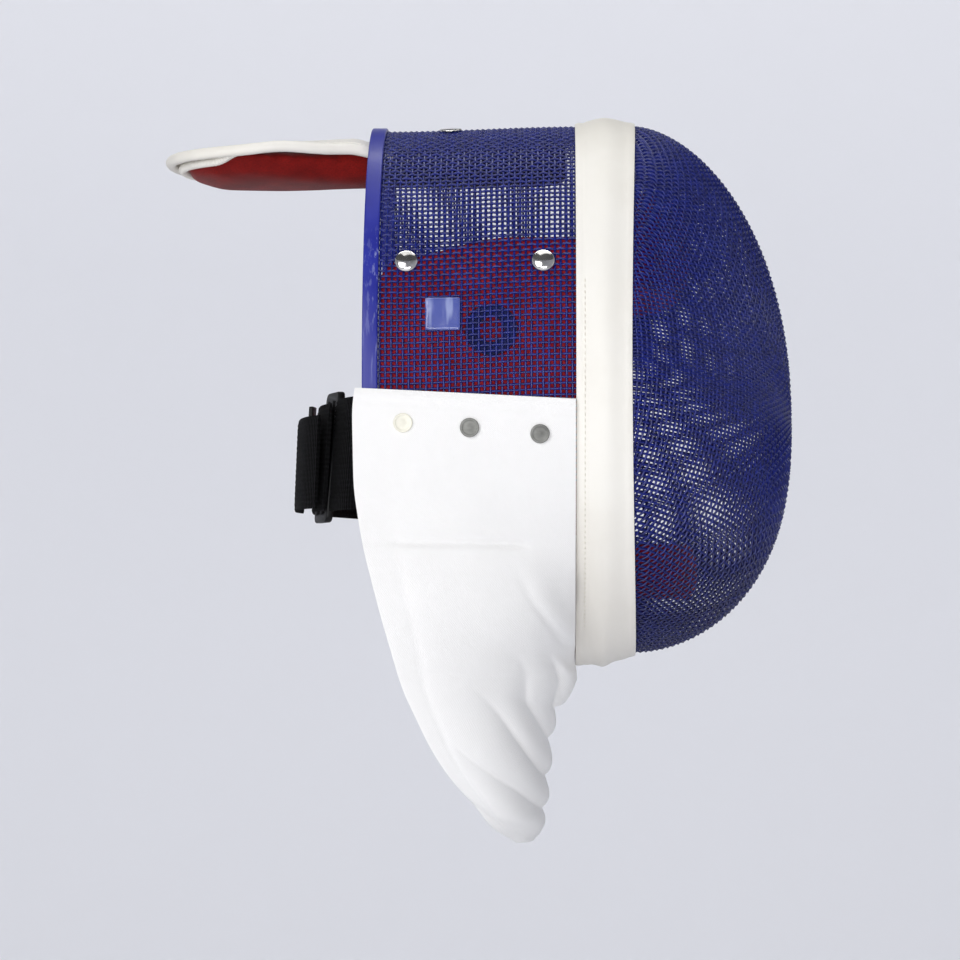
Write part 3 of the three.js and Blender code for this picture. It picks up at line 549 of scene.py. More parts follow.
# Round crimped wire along every line of edges, over and under by turns
def wireTree(finish):
    tree, graph, given = geometryTree("woven_wire", {
        "Wire radius": ("NodeSocketFloat", 0.0005), "Crimp": ("NodeSocketFloat", 0.0005),
        "Sides": ("NodeSocketInt", 6)})
    over, outward = graph.kept("over", "FLOAT"), graph.kept("outward", "FLOAT_VECTOR")
    lift = graph.add("ShaderNodeVectorMath", {"operation": "SCALE"}, {
        0: outward, "Scale": over * given("Crimp")})
    moved = graph.add("GeometryNodeSetPosition", None, {"Geometry": given("Geometry"), "Offset": lift})
    lines = graph.add("GeometryNodeMeshToCurve", None, {"Mesh": moved})
    ring = graph.add("GeometryNodeCurvePrimitiveCircle", {"mode": "RADIUS"}, {
        "Resolution": given("Sides"), "Radius": given("Wire radius")})
    tubes = graph.add("GeometryNodeCurveToMesh", None, {
        "Curve": lines, "Profile Curve": ring, "Fill Caps": True})
    soft = graph.add("GeometryNodeSetShadeSmooth", None, {"Geometry": tubes})
    endTree(graph, soft, finish)
    return tree


# Copies of one shape on every point, turned so that its +Z follows the point's outward direction
def instanceTree(name, finish):
    tree, graph, given = geometryTree(name, {
        "Shape": ("NodeSocketObject", None), "Scale": ("NodeSocketFloat", 1.0)})
    shape = graph.add("GeometryNodeObjectInfo", None, {"Object": given("Shape")}, out="Geometry")
    outward, along = graph.kept("outward", "FLOAT_VECTOR"), graph.kept("along", "FLOAT_VECTOR")
    turn = graph.add("FunctionNodeAlignRotationToVector", {"axis": "Z"}, {"Vector": outward})
    turn = graph.add("FunctionNodeAlignRotationToVector", {"axis": "X", "pivot_axis": "Z"}, {
        "Rotation": turn, "Vector": along})
    copies = graph.add("GeometryNodeInstanceOnPoints", None, {
        "Points": given("Geometry"), "Instance": shape, "Rotation": turn, "Scale": given("Scale")})
    endTree(graph, copies, finish)
    return tree


def pointsObject(name, points, attributes, edges=()):
    mesh = bpy.data.meshes.new(name)
    mesh.from_pydata((np.asarray(points) * mm).tolist(), list(edges), [])
    for key, values in attributes.items():
        values = np.asarray(values, np.float32)
        kind = "FLOAT_VECTOR" if values.ndim == 2 else "FLOAT"
        layer = mesh.attributes.new(key, kind, "POINT")
        layer.data.foreach_set("vector" if values.ndim == 2 else "value", values.ravel())
    return addObject(name, mesh)


def copies(name, shape, points, outward, along, finish):
    source = pointsObject(name + "_points", points, {"outward": outward, "along": along})
    shape.data.materials.clear()
    piece = applyTree(name, source, instanceTree(name + "_copies", finish), {"Shape": shape}, finish)
    bpy.data.objects.remove(shape)
    return piece


# Woven wire

wireCloth = {"pitch": 3.1, "radius": 0.68, "crimp": 0.62, "sides": 6, "depth": 1.0, "shear": 0.3,
             "reach": 1.26, "edge": 1.27, "frontFromX": 71.0, "sideRun": 260.0}
wireNodes = wireTree(blueWire)


# One family of wires through a grid of crossings. Its neighbours in the other family go the other way
def weave(name, points, outward, valid, alongRows):
    rows, columns = valid.shape
    number = -np.ones(valid.shape, int)
    number[valid] = np.arange(valid.sum())
    i, j = np.meshgrid(np.arange(rows), np.arange(columns), indexing="ij")
    over = np.where((i + j) % 2 == 0, 1.0, -1.0) * (1.0 if alongRows else -1.0)
    a, b = (number[:-1], number[1:]) if alongRows else (number[:, :-1], number[:, 1:])
    keep = (a >= 0) & (b >= 0)
    edges = np.stack([a[keep], b[keep]], 1).tolist()
    lowered = points - outward * wireCloth["depth"]
    source = pointsObject(name + "_lines", lowered[valid], {
        "outward": outward[valid], "over": over[valid]}, edges)
    piece = applyTree(name, source, wireNodes, {
        "Wire radius": wireCloth["radius"] * mm, "Crimp": wireCloth["crimp"] * mm,
        "Sides": wireCloth["sides"]}, blueWire)
    print(name, "crossings", int(valid.sum()), "faces", len(piece.data.polygons))
    return piece


# Places at one pitch from each other along an axis from the nose outwards
def axisSteps(dp, dq, last):
    t = np.linspace(0, last, 4000)
    line = domePoint(t * dp, t * dq)
    run = runAlong(line)
    at = np.arange(1, int(run[-1] / wireCloth["pitch"]) + 1) * wireCloth["pitch"]
    found = np.interp(at, run, t)
    return np.stack([found * dp, found * dq], 1)


solver = {"tries": 12, "nudge": 1e-5, "stride": 0.03, "miss": 0.15, "reach": 1.4}


# Crossings between two axes: each one lies a pitch from its two neighbours, as in woven cloth
def netQuadrant(first, second):
    pitch = wireCloth["pitch"]
    n, m = len(first), len(second)
    grid = np.full((n + 1, m + 1, 2), np.nan)
    grid[0, 0] = 0.0
    grid[1:, 0], grid[0, 1:] = first, second
    for total in range(2, n + m + 1):
        i = np.arange(max(1, total - m), min(n, total - 1) + 1)
        j = total - i
        a, b, c = grid[i - 1, j], grid[i, j - 1], grid[i - 1, j - 1]
        ok = ~np.isnan(a[:, 0] + b[:, 0] + c[:, 0])
        if not ok.any():
            break
        i, j, a, b, c = i[ok], j[ok], a[ok], b[ok], c[ok]
        pa, pb = domePoint(a[:, 0], a[:, 1]), domePoint(b[:, 0], b[:, 1])
        at = a + b - c

        def miss(at):
            p = domePoint(at[:, 0], at[:, 1])
            return np.stack([np.linalg.norm(p - pa, axis=1), np.linalg.norm(p - pb, axis=1)], 1) - pitch

        for _ in range(solver["tries"]):
            r = miss(at)
            e = solver["nudge"]
            jx = (miss(at + [e, 0]) - r) / e
            jy = (miss(at + [0, e]) - r) / e
            det = jx[:, 0] * jy[:, 1] - jy[:, 0] * jx[:, 1]
            det = np.where(np.abs(det) < 1e-6, 1e-6, det)
            step = np.stack([(jy[:, 1] * r[:, 0] - jy[:, 0] * r[:, 1]) / det,
                             (jx[:, 0] * r[:, 1] - jx[:, 1] * r[:, 0]) / det], 1)
            size = np.linalg.norm(step, axis=1, keepdims=True)
            at = at - step * np.minimum(1, solver["stride"] / np.maximum(size, 1e-9))
        close = np.abs(miss(at)).max(1) < solver["miss"]
        good = close & (np.hypot(at[:, 0], at[:, 1]) < solver["reach"])
        grid[i[good], j[good]] = at[good]
    # Pressed cloth stretches a little, so its crossings lie between the sheared net and an even one
    even = np.zeros_like(grid)
    even[1:, :, 0] = first[:, :1]
    even[:, 1:, 1] = second[:, 1]
    blend = mix(even, grid, wireCloth["shear"])
    blend[np.hypot(blend[..., 0], blend[..., 1]) > wireCloth["edge"]] = np.nan
    return blend


def frontWires():
    reach = wireCloth["reach"]
    up, down = axisSteps(0, 1, reach), axisSteps(0, -1, reach)
    left, right = axisSteps(1, 0, reach), axisSteps(-1, 0, reach)
    rows, columns = len(right) + len(left) + 1, len(down) + len(up) + 1
    grid = np.full((rows, columns, 2), np.nan)
    ci, cj = len(right), len(down)
    grid[ci:, cj:] = netQuadrant(left, up)
    grid[ci:, :cj + 1] = netQuadrant(left, down)[:, ::-1]
    grid[:ci + 1, cj:] = netQuadrant(right, up)[::-1]
    grid[:ci + 1, :cj + 1] = netQuadrant(right, down)[::-1, ::-1]
    valid = ~np.isnan(grid[..., 0])
    flat = np.where(valid[..., None], grid, 0.0)
    points = domePoint(flat[..., 0], flat[..., 1])
    outward = surfaceNormal(domePoint, flat[..., 0], flat[..., 1])
    valid &= points[..., 0] > wireCloth["frontFromX"]
    for name, alongRows in (("front_wires_cross", True), ("front_wires_upright", False)):
        finishPiece(weave(name, points, outward, valid, alongRows), "blue_wire", "front_mesh")


def sideWires():
    pitch = wireCloth["pitch"]
    xs = np.arange(side["rearX"] + 1.0, side["joinX"], pitch)
    v = np.linspace(0, 1, 4001)
    half = int(wireCloth["sideRun"] / pitch)
    columns = 2 * half + 1
    places = np.full((len(xs), columns), np.nan)
    for i, x in enumerate(xs):
        line = sidePoint(x, v)
        run = runAlong(line)
        run -= np.interp(0.5, v, run)
        at = np.arange(-half, half + 1) * pitch
        inside = (at > run[0]) & (at < run[-1])
        places[i, inside] = np.interp(at[inside], run, v)
    valid = ~np.isnan(places)
    known = np.where(valid, places, 0.5)
    x = np.broadcast_to(xs[:, None], known.shape)
    points, outward = sidePoint(x, known), surfaceNormal(sidePoint, x, known)
    for name, alongRows in (("side_wires_long", True), ("side_wires_hoop", False)):
        finishPiece(weave(name, points, outward, valid, alongRows), "blue_wire", "side_mesh")


frontWires()
sideWires()

# Joint strip: a folded vinyl band, fuller over the joint, with a line of stitches along its rear edge

strip = {"rearX": 53.5, "width": 33.5, "sideDip": 4.0, "wall": 1.6, "crown": 2.8, "gap": 0.3, "fold": 0.5,
         "foldWidth": 0.06, "groove": 0.5, "grooveAt": 0.13, "ripple": 0.35, "sag": 5.5, "sagReach": 0.09}
stitches = {"fromRear": 4.6, "pitch": 3.2, "length": 2.1, "radius": 0.26, "lift": 2.75, "turns": (0.2, 0.8)}


# A soft unevenness over two coordinates, from a few fixed waves
def noiseWave(a, b, seed, waves=6):
    pick = np.random.default_rng(seed)
    total = 0.0
    for _ in range(waves):
        ka, kb, phase = pick.uniform(-1, 1), pick.uniform(-1, 1), pick.uniform(0, 2 * np.pi)
        total = total + np.sin(ka * a + kb * b + phase)
    return total / waves


def stripGrid(rows, columns):
    turn = np.arange(columns) / columns
    u = np.linspace(0, 1, rows)[:, None]
    c = np.cos(turn * 2 * np.pi)[None, :]
    front = strip["rearX"] + strip["width"] - strip["sideDip"] * (1 - c * c)
    skin = hoopPoint(np.broadcast_to(turn, (rows, columns)), mix(strip["rearX"], front, u))
    return skin, u, turn


def jointStrip():
    skin, u, turn = stripGrid(22, 260)
    out = -normals(skin, ringV=True)
    rise = strip["crown"] * np.clip(np.sin(u * np.pi), 0, 1) ** 2.2
    chin = smooth(1 - np.abs(turn[None, :] - 0.5) / strip["sagReach"])
    sag = strip["sag"] * chin * ((1 - u) ** 1.3 + 0.12 * np.sin(u * 17) * np.sin(np.pi * u))
    hem = strip["fold"] * sum(np.exp(-((u - end) / strip["foldWidth"]) ** 2) for end in (0, 1))
    groove = -strip["groove"] * np.exp(-((u - strip["grooveAt"]) / 0.03) ** 2)
    ripple = strip["ripple"] * noiseWave(u * 5, turn[None, :] * 150, 4) * np.sin(u * np.pi)
    ease = np.clip(np.sin(u * np.pi) * 6, 0.35, 1)
    height = strip["gap"] + strip["wall"] * ease + rise + hem + groove + ripple + sag
    outer = skin + out * height[..., None]
    inner = skin + out * (strip["gap"] + rise * 0.9 + sag * 0.9)[..., None]
    piece = wallMesh("joint_strip", outer, inner, creamVinyl, ring=True, flat=runLengths(skin))
    finishPiece(piece, "cream_vinyl", "band")


# A line of stitches from the right side under the chin to the left one
def stripStitches():
    at = np.linspace(*stitches["turns"], 170)
    path = hoopPoint(at, strip["rearX"] + stitches["fromRear"])
    away = unit((path - [0, 0, hoop["widestZ"]]) * [0, 1, 1])
    step = np.gradient(path, axis=0)
    run = np.linalg.norm(step, axis=1).cumsum()
    even = np.arange(run[0], run[-1], stitches["pitch"])
    path = np.stack([np.interp(even, run, path[:, k]) for k in range(3)], 1)
    away = np.stack([np.interp(even, run, away[:, k]) for k in range(3)], 1)
    along = np.gradient(path, axis=0)
    stitch = roundBar("stitch", stitches["length"], stitches["radius"])
    places = path + away * stitches["lift"]
    finishPiece(copies("strip_stitches", stitch, places, away, along, threadFinish), "cream_vinyl")


# A short thread along X with round ends
def roundBar(name, length, radius):
    t = np.linspace(-1, 1, 7)
    r = radius * np.sqrt(np.clip(1 - t ** 4, 0.02, 1))
    angle = np.linspace(0, 2 * np.pi, 6, endpoint=False)
    loops = np.stack([
        np.stack([np.full(6, x * length / 2), k * np.cos(angle), k * np.sin(angle) - 0.1], 1)
        for x, k in zip(t, r)])
    return sweepMesh(name, loops, threadFinish)


jointStrip()
stripStitches()
print("joint strip made")

# Rear binding: a glossy channel folded over the mesh edge

binding = {"rearX": -60.1, "width": 8.4, "outer": 1.9, "inner": -3.7, "slotOuter": 0.3, "slotInner": -2.1,
           "wall": 1.6, "trim": 0.03, "corner": 1.0}


# A closed outline of (x, off, rounded) corners with the given ones rounded
def roundCorners(corners, radius, steps=4):
    outline = []
    n = len(corners)
    for k, (x, y, rounded) in enumerate(corners):
        if not rounded:
            outline.append((x, y))
            continue
        p = np.array((x, y))
        a, b = np.array(corners[k - 1][:2]) - p, np.array(corners[(k + 1) % n][:2]) - p
        start, end = p + unit(a) * radius, p + unit(b) * radius
        for t in np.linspace(0, 1, steps + 1):
            outline.append(tuple((1 - t) ** 2 * start + 2 * t * (1 - t) * p + t * t * end))
    return np.array(outline)


def rearBinding():
    rear, front = binding["rearX"], binding["rearX"] + binding["width"]
    inside = rear + binding["wall"]
    corners = [
        (front, binding["outer"], True), (rear, binding["outer"], True),
        (rear, binding["inner"], True), (front, binding["inner"], True),
        (front, binding["slotInner"], False), (inside, binding["slotInner"], False),
        (inside, binding["slotOuter"], False), (front, binding["slotOuter"], False)]
    outline = roundCorners(corners, binding["corner"])
    v = np.linspace(binding["trim"], 1 - binding["trim"], 200)
    base, after, before = [
        sidePoint(side["rearX"], np.clip(at, 0, 1)) for at in (v, v + nudge, v - nudge)]
    out = unit(np.cross([1.0, 0, 0], after - before))
    off = outline[None, :, 1]
    uneven = 0.12 * noiseWave(v * 60, v * 0, 7)[:, None]
    loops = base[:, None, :] + out[:, None, :] * (off + uneven * (off > 1))[..., None]
    loops[..., 0] = outline[None, :, 0] - 0.15 * noiseWave(v * 45, v * 0, 9)[:, None]
    finishPiece(sweepMesh("rear_binding", loops, blueBinding, sharp=50), "blue_binding", "rear_rim")


rearBinding()
print("rear binding made")

# Bib: two padded flaps that join below the chin, gathered in slanting pleats at the throat

bib = {"wall": 4.0, "rearX": -65.0, "hemRearZ": -122.0, "hemFrontZ": -127.5, "tipX": 25.0, "tipZ": -367.0,
       "frontX": 49.0, "chinShare": 0.5, "bandGap": 5.5, "stripGap": 0.3, "inside": 106.7, "fill": 0.25,
       "rows": 190, "columns": 84, "evened": 40, "middleZ": -250.0}
pleats = {"firstZ": -291.0, "lastZ": -349.0, "pitch": 19.4, "slope": (2.17, 0.93), "run": (18.0, 46.0),
          "bend": 2.2, "height": 3.0, "roll": 1.2, "rollReach": 34.0, "tail": 0.9, "tailReach": 62.0}
puff = {"height": 2.6, "drop": 70.0}
sewing = {"seamZ": -204.0, "seamDepth": 1.7, "seamX": (-46.0, 30.0), "hemHeight": 0.35, "hemWidth": 5.0,
          "hemSlope": 0.05, "hemStitch": 6.5, "stitchDepth": 0.55, "edgeHeight": 1.3, "edgeStitch": 0.5}
bibFold = [(14.0, -202.0), (28.0, -233.6), (50.0, -262.0)]  # x and z down the soft fold, from the seam
bibRearEdge = [  # shares of the drop from hem to tip, of the run from rear to tip and of the half width
    (0, 0.02, 1), (0.03, 0, 1), (0.22, 0.012, 1), (0.34, 0.065, 1), (0.465, 0.154, 1), (0.63, 0.283, 0.985),
    (0.75, 0.437, 0.9), (0.825, 0.56, 0.79), (0.89, 0.723, 0.66), (0.925, 0.785, 0.56), (0.945, 0.816, 0.49),
    (0.97, 0.867, 0.39), (0.991, 0.925, 0.28), (1, 0.966, 0.2)]
bibFrontLine = [  # shares of the drop from chin to tip and of the run from chin to tip
    (0, 0), (0.1, 0.08), (0.226, 0.496), (0.427, 0.625), (0.624, 0.683), (0.809, 0.755), (0.92, 0.767),
    (0.975, 0.83), (1, 0.958)]


# Smoothed reading of a table: an average over a short stretch takes its corners off
def softInterp(at, table, column):
    table = np.array(table, float)
    return np.mean([np.interp(np.clip(at + d, 0, 1), table[:, 0], table[:, column])
                    for d in np.linspace(-0.012, 0.012, 7)], 0)


# The rear edge and the front line of the bib at each share v of the way down
def bibEdges(v):
    rear = np.stack([mix(bib["rearX"], bib["tipX"], softInterp(v, bibRearEdge, 1)),
                     bib["inside"] * softInterp(v, bibRearEdge, 2),
                     mix(bib["hemRearZ"], bib["tipZ"], v)], -1)
    chinZ = hoop["widestZ"] - hoop["jaw"]
    share = bib["chinShare"]
    turned = smooth((v - 0.3) / (share - 0.3))
    t = np.clip(v / share, 0, 1)
    z = mix(bib["hemFrontZ"], chinZ, np.sin(t * np.pi / 2) * 0.4 + t * 0.6)
    upper = np.stack([strip["rearX"] - bib["stripGap"] - bib["wall"] * turned, hoopHalf(z) + 0.8, z], -1)
    t = np.clip((v - share) / (1 - share), 0, 1)
    lower = np.stack([mix(bib["frontX"], bib["tipX"], softInterp(t, bibFrontLine, 1)), 0 * t,
                      mix(chinZ - bib["bandGap"], bib["tipZ"], t)], -1)
    return rear, np.where((v < share)[..., None], upper, lower)


def bibSkin(v, t, hand):
    rear, front = bibEdges(v)
    forward = np.sin(t * np.pi / 2)
    bend = mix(1, 2, smooth((v - 0.2) / (bib["chinShare"] - 0.2)))
    curve = np.clip(1 - forward ** 2, 0, 1) ** (1 / bend)
    return np.stack([mix(rear[..., 0], front[..., 0], forward),
                     hand * mix(front[..., 1], rear[..., 1], curve),
                     mix(rear[..., 2], front[..., 2], forward)], -1), front


# Slanting pleats at the throat, and the low tails in which they run out
def throatPleats(skin, back, v):
    frontZ = skin[..., 2]
    for _ in range(12):
        low = np.clip((pleats["firstZ"] - frontZ) / (pleats["firstZ"] - pleats["lastZ"]), -0.6, 1)
        run = mix(*pleats["run"], np.clip(low, 0, 1))
        slope = mix(*pleats["slope"], low)
        bend = pleats["bend"] * run
        frontZ = mix(frontZ, skin[..., 2] - bend * slope * np.tanh(back / bend), 0.5)
    level = (pleats["firstZ"] - frontZ) / pleats["pitch"]
    level = level + 0.05 * np.sin(back / 8.0 + level * 2.3)
    above = level < 0
    lower = smooth((v - bib["chinShare"] + 0.015) * 24) * smooth((1 - v) * 12)
    place = np.where(above, np.clip(level / 1.7 + 1, 0, 1), level - np.floor(level))
    lobe = np.sin(np.pi * place ** np.where(above, 2.6, 1.5)) ** 0.65
    roll = pleats["roll"] * above * smooth(1.1 - back / pleats["rollReach"])
    pleat = (pleats["height"] * smooth(1.2 - back / run) + roll) * lobe * lower
    reach = smooth(1 - back / pleats["tailReach"])
    return pleat, pleats["tail"] * reach * lower * (lobe - 0.6) * smooth(level / 2 + 0.3)


# The fullness below the seam
def seamPuff(skin, back):
    below = (sewing["seamZ"] - skin[..., 2]) / puff["drop"]
    full = puff["height"] * np.sin(np.pi * np.clip(below, 0, 1)) ** 0.7
    return np.where(below > 0, full, 0) * smooth(back / 30 + 0.15)


# What the sewing presses in and lifts: the seam, the hem and the front edge
def sewnLines(skin, v, t):
    x, z = skin[..., 0], skin[..., 2]
    seamRear, seamFront = sewing["seamX"]
    seam = -sewing["seamDepth"] * np.exp(-((z - sewing["seamZ"]) / 1.6) ** 2)
    seam = seam * smooth((x - seamRear) / 8) * smooth((seamFront - x) / 8)
    fromHem = bib["hemRearZ"] - z - sewing["hemSlope"] * (x - bib["rearX"])
    hem = sewing["hemHeight"] * np.exp(-(fromHem / sewing["hemWidth"]) ** 4)
    hem = hem - sewing["stitchDepth"] * np.exp(-((fromHem - sewing["hemStitch"]) / 0.9) ** 2)
    edge = sewing["edgeHeight"] * np.exp(-(t / 0.05) ** 2)
    edge = edge - sewing["edgeStitch"] * np.exp(-((t - 0.1) / 0.02) ** 2)
    return seam + hem + edge * smooth(v * 4 - 0.6) * smooth((1 - v) * 10)


# One soft fold from the seam forward to the chin
def softFold(skin):
    x, z = skin[..., 0], skin[..., 2]
    beside = x - np.interp(-z, [-row[1] for row in bibFold], [row[0] for row in bibFold])
    within = smooth((bibFold[0][1] - z) / 45) * smooth((z - bibFold[-1][1]) / 10)
    return within * (1.7 * np.exp(-((beside - 7) / 8) ** 2) - 0.9 * np.exp(-((beside + 1) / 3) ** 2))


def bibFlap(hand):
    rows, columns = bib["rows"], bib["columns"]
    v, t = shareGrids(rows + 1, columns + 1)
    skin, front = bibSkin(v, t, hand)
    for _ in range(bib["evened"]):
        skin[1:-1, :-1] += (skin[:-2, :-1] + skin[2:, :-1] - 2 * skin[1:-1, :-1]) / 4
    out = normals(skin)
    out[:, -1] = np.where((v[:, -1:] >= bib["chinShare"]), [1.0, 0, 0], out[:, -2])
    out *= np.sign((out * (skin - [0, 0, bib["middleZ"]])).sum(-1, keepdims=True) + 1e-9)
    out[..., 2] *= 1 - smooth((v - 0.88) / 0.12)
    out = unit(out)
    back = np.clip(front[..., 0] - skin[..., 0], 0, None)
    pleat, tail = throatPleats(skin, back, v)
    full = seamPuff(skin, back)
    ripple = 0.5 * noiseWave(skin[..., 0] * 0.13, skin[..., 2] * 0.1, 11) * smooth(back / 10)
    relief = pleat + tail + full + sewnLines(skin, v, t) + ripple + softFold(skin)
    thick = bib["wall"] - 1.2 * np.exp(-(v / 0.008) ** 2)
    outer = skin + out * (thick + relief)[..., None]
    inner = skin + out * (0.4 * pleat + 0.4 * full)[..., None]
    chinRow = round(rows * bib["chinShare"])
    limit = strip["rearX"] - bib["stripGap"]
    for grid in (outer, inner):
        grid[:chinRow + 1, :, 0] = np.minimum(grid[:chinRow + 1, :, 0], limit)
        grid[chinRow:, -1, 1] = 0.0
    return outer, inner, skin, chinRow


def makeBib():
    rows, columns = bib["rows"], bib["columns"]
    width = columns + 1
    count = (rows + 1) * width
    points, faces, flats = [], [], []
    start = 0
    for hand in (-1, 1):
        outer, inner, skin, chinRow = bibFlap(hand)
        points += [outer.reshape(-1, 3), inner.reshape(-1, 3)]
        flats += [runLengths(skin).reshape(-1, 3)] * 2
        faces += gridFaces(rows + 1, width, start)
        faces += gridFaces(rows + 1, width, start + count, flip=True)
        for i in range(rows):
            a = start + i * width
            faces.append((a, a + width, a + width + count, a + count))
            if i < chinRow:
                a += columns
                faces.append((a, a + width, a + width + count, a + count))
        for i in (0, rows):
            for j in range(columns):
                a = start + i * width + j
                faces.append((a, a + 1, a + 1 + count, a + count))
        start += 2 * count
    flat = np.concatenate(flats)
    piece = makeMesh("bib_cloth", np.concatenate(points), faces, whiteCloth, flat, sharp=70)
    finishPiece(piece, "white_cloth", "bib")


makeBib()
print("bib made")

# Tongue: a cream cover with a piped edge, sprung over the back of the head

tongue = {"tipX": -171.0, "rootX": 4.0, "rootHalf": 26.0, "wideHalf": 44.0, "wideX": -128.0,
          "tipDrop": 8.0, "flatness": 0.85, "wall": 2.0, "rimDrop": 4.6, "rearLift": 3.6, "rivetX": -16.0,
          "meshWall": 1.8, "clothGap": 0.8, "fullX": -60.0, "fullness": 0.9, "pucker": 0.35}
piping = {"radius": 3.1, "gap": 0.3, "insideX": -120.0, "points": 800, "step": 1.2, "evened": 12}
gathers = {"frontX": -128.0, "step": 0.6, "radius": 2.1, "rib": 0.22, "narrower": 0.12,
           "move": (6.5, 0, -3.6)}


def tongueHalf(x):
    wide = mix(tongue["rootHalf"], tongue["wideHalf"],
               smooth((x - side["rearX"]) / (tongue["wideX"] - side["rearX"])))
    t = np.clip((tongue["wideX"] - x) / (tongue["wideX"] - tongue["tipX"]), 0, 1)
    tip = tongue["wideHalf"] * np.sqrt(np.clip(1 - t ** 2.3, 0, 1))
    return np.where(x > side["rearX"], tongue["rootHalf"], np.where(x > tongue["wideX"], wide, tip))


def crownZ(x, y):
    power = hoop["crownPower"]
    return hoop["widestZ"] + sideCrown(x) * (1 - (np.abs(y) / side["halfWidth"]) ** power) ** (1 / power)


def tongueTop(x, y):
    drop = mix(tongue["clothGap"], tongue["rimDrop"], smooth((tongue["rivetX"] - x) / 30))
    under = crownZ(x, y) - tongue["meshWall"] - drop
    level = crownZ(side["rearX"], 0.0) - tongue["meshWall"] - tongue["rimDrop"]
    back = np.clip((side["rearX"] - x) / (side["rearX"] - tongue["tipX"]), 0, None)
    lift = tongue["rearLift"] * smooth((side["rearX"] - x) / 14) * np.clip(1 - back / 0.65, 0, 1)
    return mix(under, level, smooth(back * 2) * tongue["flatness"]) - tongue["tipDrop"] * back ** 1.2 + lift


def tongueCover():
    u, v = shareGrids(110, 41)
    v = v * 2 - 1
    x = mix(tongue["rootX"], tongue["tipX"], np.sin(u * np.pi / 2) ** 1.05)
    y = tongueHalf(x) * v
    behind = tongue["fullX"] - x
    pucker = tongue["pucker"] * np.abs(v) ** 6 * np.sin(x * 1.1) * smooth(behind / 20)
    top = tongueTop(x, y) + tongue["fullness"] * (1 - v ** 2) * smooth(behind / 30) + pucker
    outer = np.stack([x, y, top], -1)
    inner = np.stack([x, y, tongueTop(x, y) - tongue["wall"]], -1)
    piece = wallMesh("tongue_cover_cloth", outer, inner, creamVinyl, flat=runLengths(outer))
    finishPiece(piece, "cream_vinyl", "tongue_cover")


# The middle line of the piping round the cover's edge
def tongueEdge():
    radius = piping["radius"]
    a = np.linspace(-1, 1, piping["points"])
    x = mix(tongue["tipX"], side["rearX"] + side["rimWidth"], np.abs(a) ** 1.7)
    flat = np.stack([x, np.sign(a) * tongueHalf(x)], 1)
    step = unit(np.gradient(flat, axis=0))
    away = np.stack([-step[:, 1], step[:, 0]], 1)
    away *= np.sign((away * (flat - [piping["insideX"], 0])).sum(1, keepdims=True) + 1e-9)
    line = flat + away * (radius + piping["gap"])
    return np.column_stack([line, tongueTop(x, np.abs(flat[:, 1]) + radius) - radius])


# Each round of evening moves every inner point halfway to the middle of its neighbours
def evened(line, rounds):
    for _ in range(rounds):
        line[1:-1] = (line[:-2] + 2 * line[1:-1] + line[2:]) / 4
    return line


# A line with even steps of about the given length
def resample(line, step):
    run = runAlong(line)
    at = np.linspace(0, run[-1], max(int(run[-1] / step), 2) + 1)
    return np.stack([np.interp(at, run, line[:, k]) for k in range(line.shape[1])], 1)


# A round piece along a line, whose radius may change along it
def tube(name, line, radius, finish, sides=14, sharp=50):
    step = unit(np.gradient(line, axis=0))
    across = unit(np.cross(step, [0, 0, 1.0]))
    rise = np.cross(across, step)
    angle = np.linspace(0, 2 * np.pi, sides, endpoint=False)
    radius = np.broadcast_to(radius, len(line))
    loops = line[:, None, :] + radius[:, None, None] * (
        np.cos(angle)[None, :, None] * across[:, None, :] + np.sin(angle)[None, :, None] * rise[:, None, :])
    return sweepMesh(name, loops, finish, sharp=sharp)


def tonguePiping():
    line = evened(resample(tongueEdge(), piping["step"]), piping["evened"])
    rows = np.arange(len(line))
    wobble = 1 + 0.03 * noiseWave(rows * 0.9, 0, 21)
    gather = 1 + 0.05 * np.sin(rows * 2.4) * smooth((piping["insideX"] - line[:, 0]) / 30)
    piece = tube("tongue_edge_piping", line, piping["radius"] * wobble * gather, creamVinyl)
    finishPiece(piece, "cream_vinyl", "tongue_piping")


# The cover's edge, gathered where it turns under at the tip
def tongueGathers():
    line = tongueEdge()
    line = resample(line[line[:, 0] < gathers["frontX"]], gathers["step"])
    rows = np.arange(len(line))
    fromEnd = np.minimum(rows, rows[::-1])
    narrow = smooth(fromEnd / 14)
    under = smooth(fromEnd / 44)[:, None]
    line = line * (1 - under * [0, gathers["narrower"], 0]) + under * gathers["move"]
    ribs = 1 + gathers["rib"] * np.abs(np.sin(rows * 0.8 + 0.6 * np.sin(rows * 0.13)))
    piece = tube("tongue_gathers", line, gathers["radius"] * ribs * (0.25 + 0.75 * narrow), creamVinyl)
    finishPiece(piece, "cream_vinyl")


tongueCover()
tonguePiping()
tongueGathers()
print("tongue made")

# Padding, blown up under its cover

padRecipe = {"voxel": 4.0, "pressure": 4.0, "frames": 20, "shrink": 0.5, "quality": 5, "fill": 0.5,
             "evened": 2}


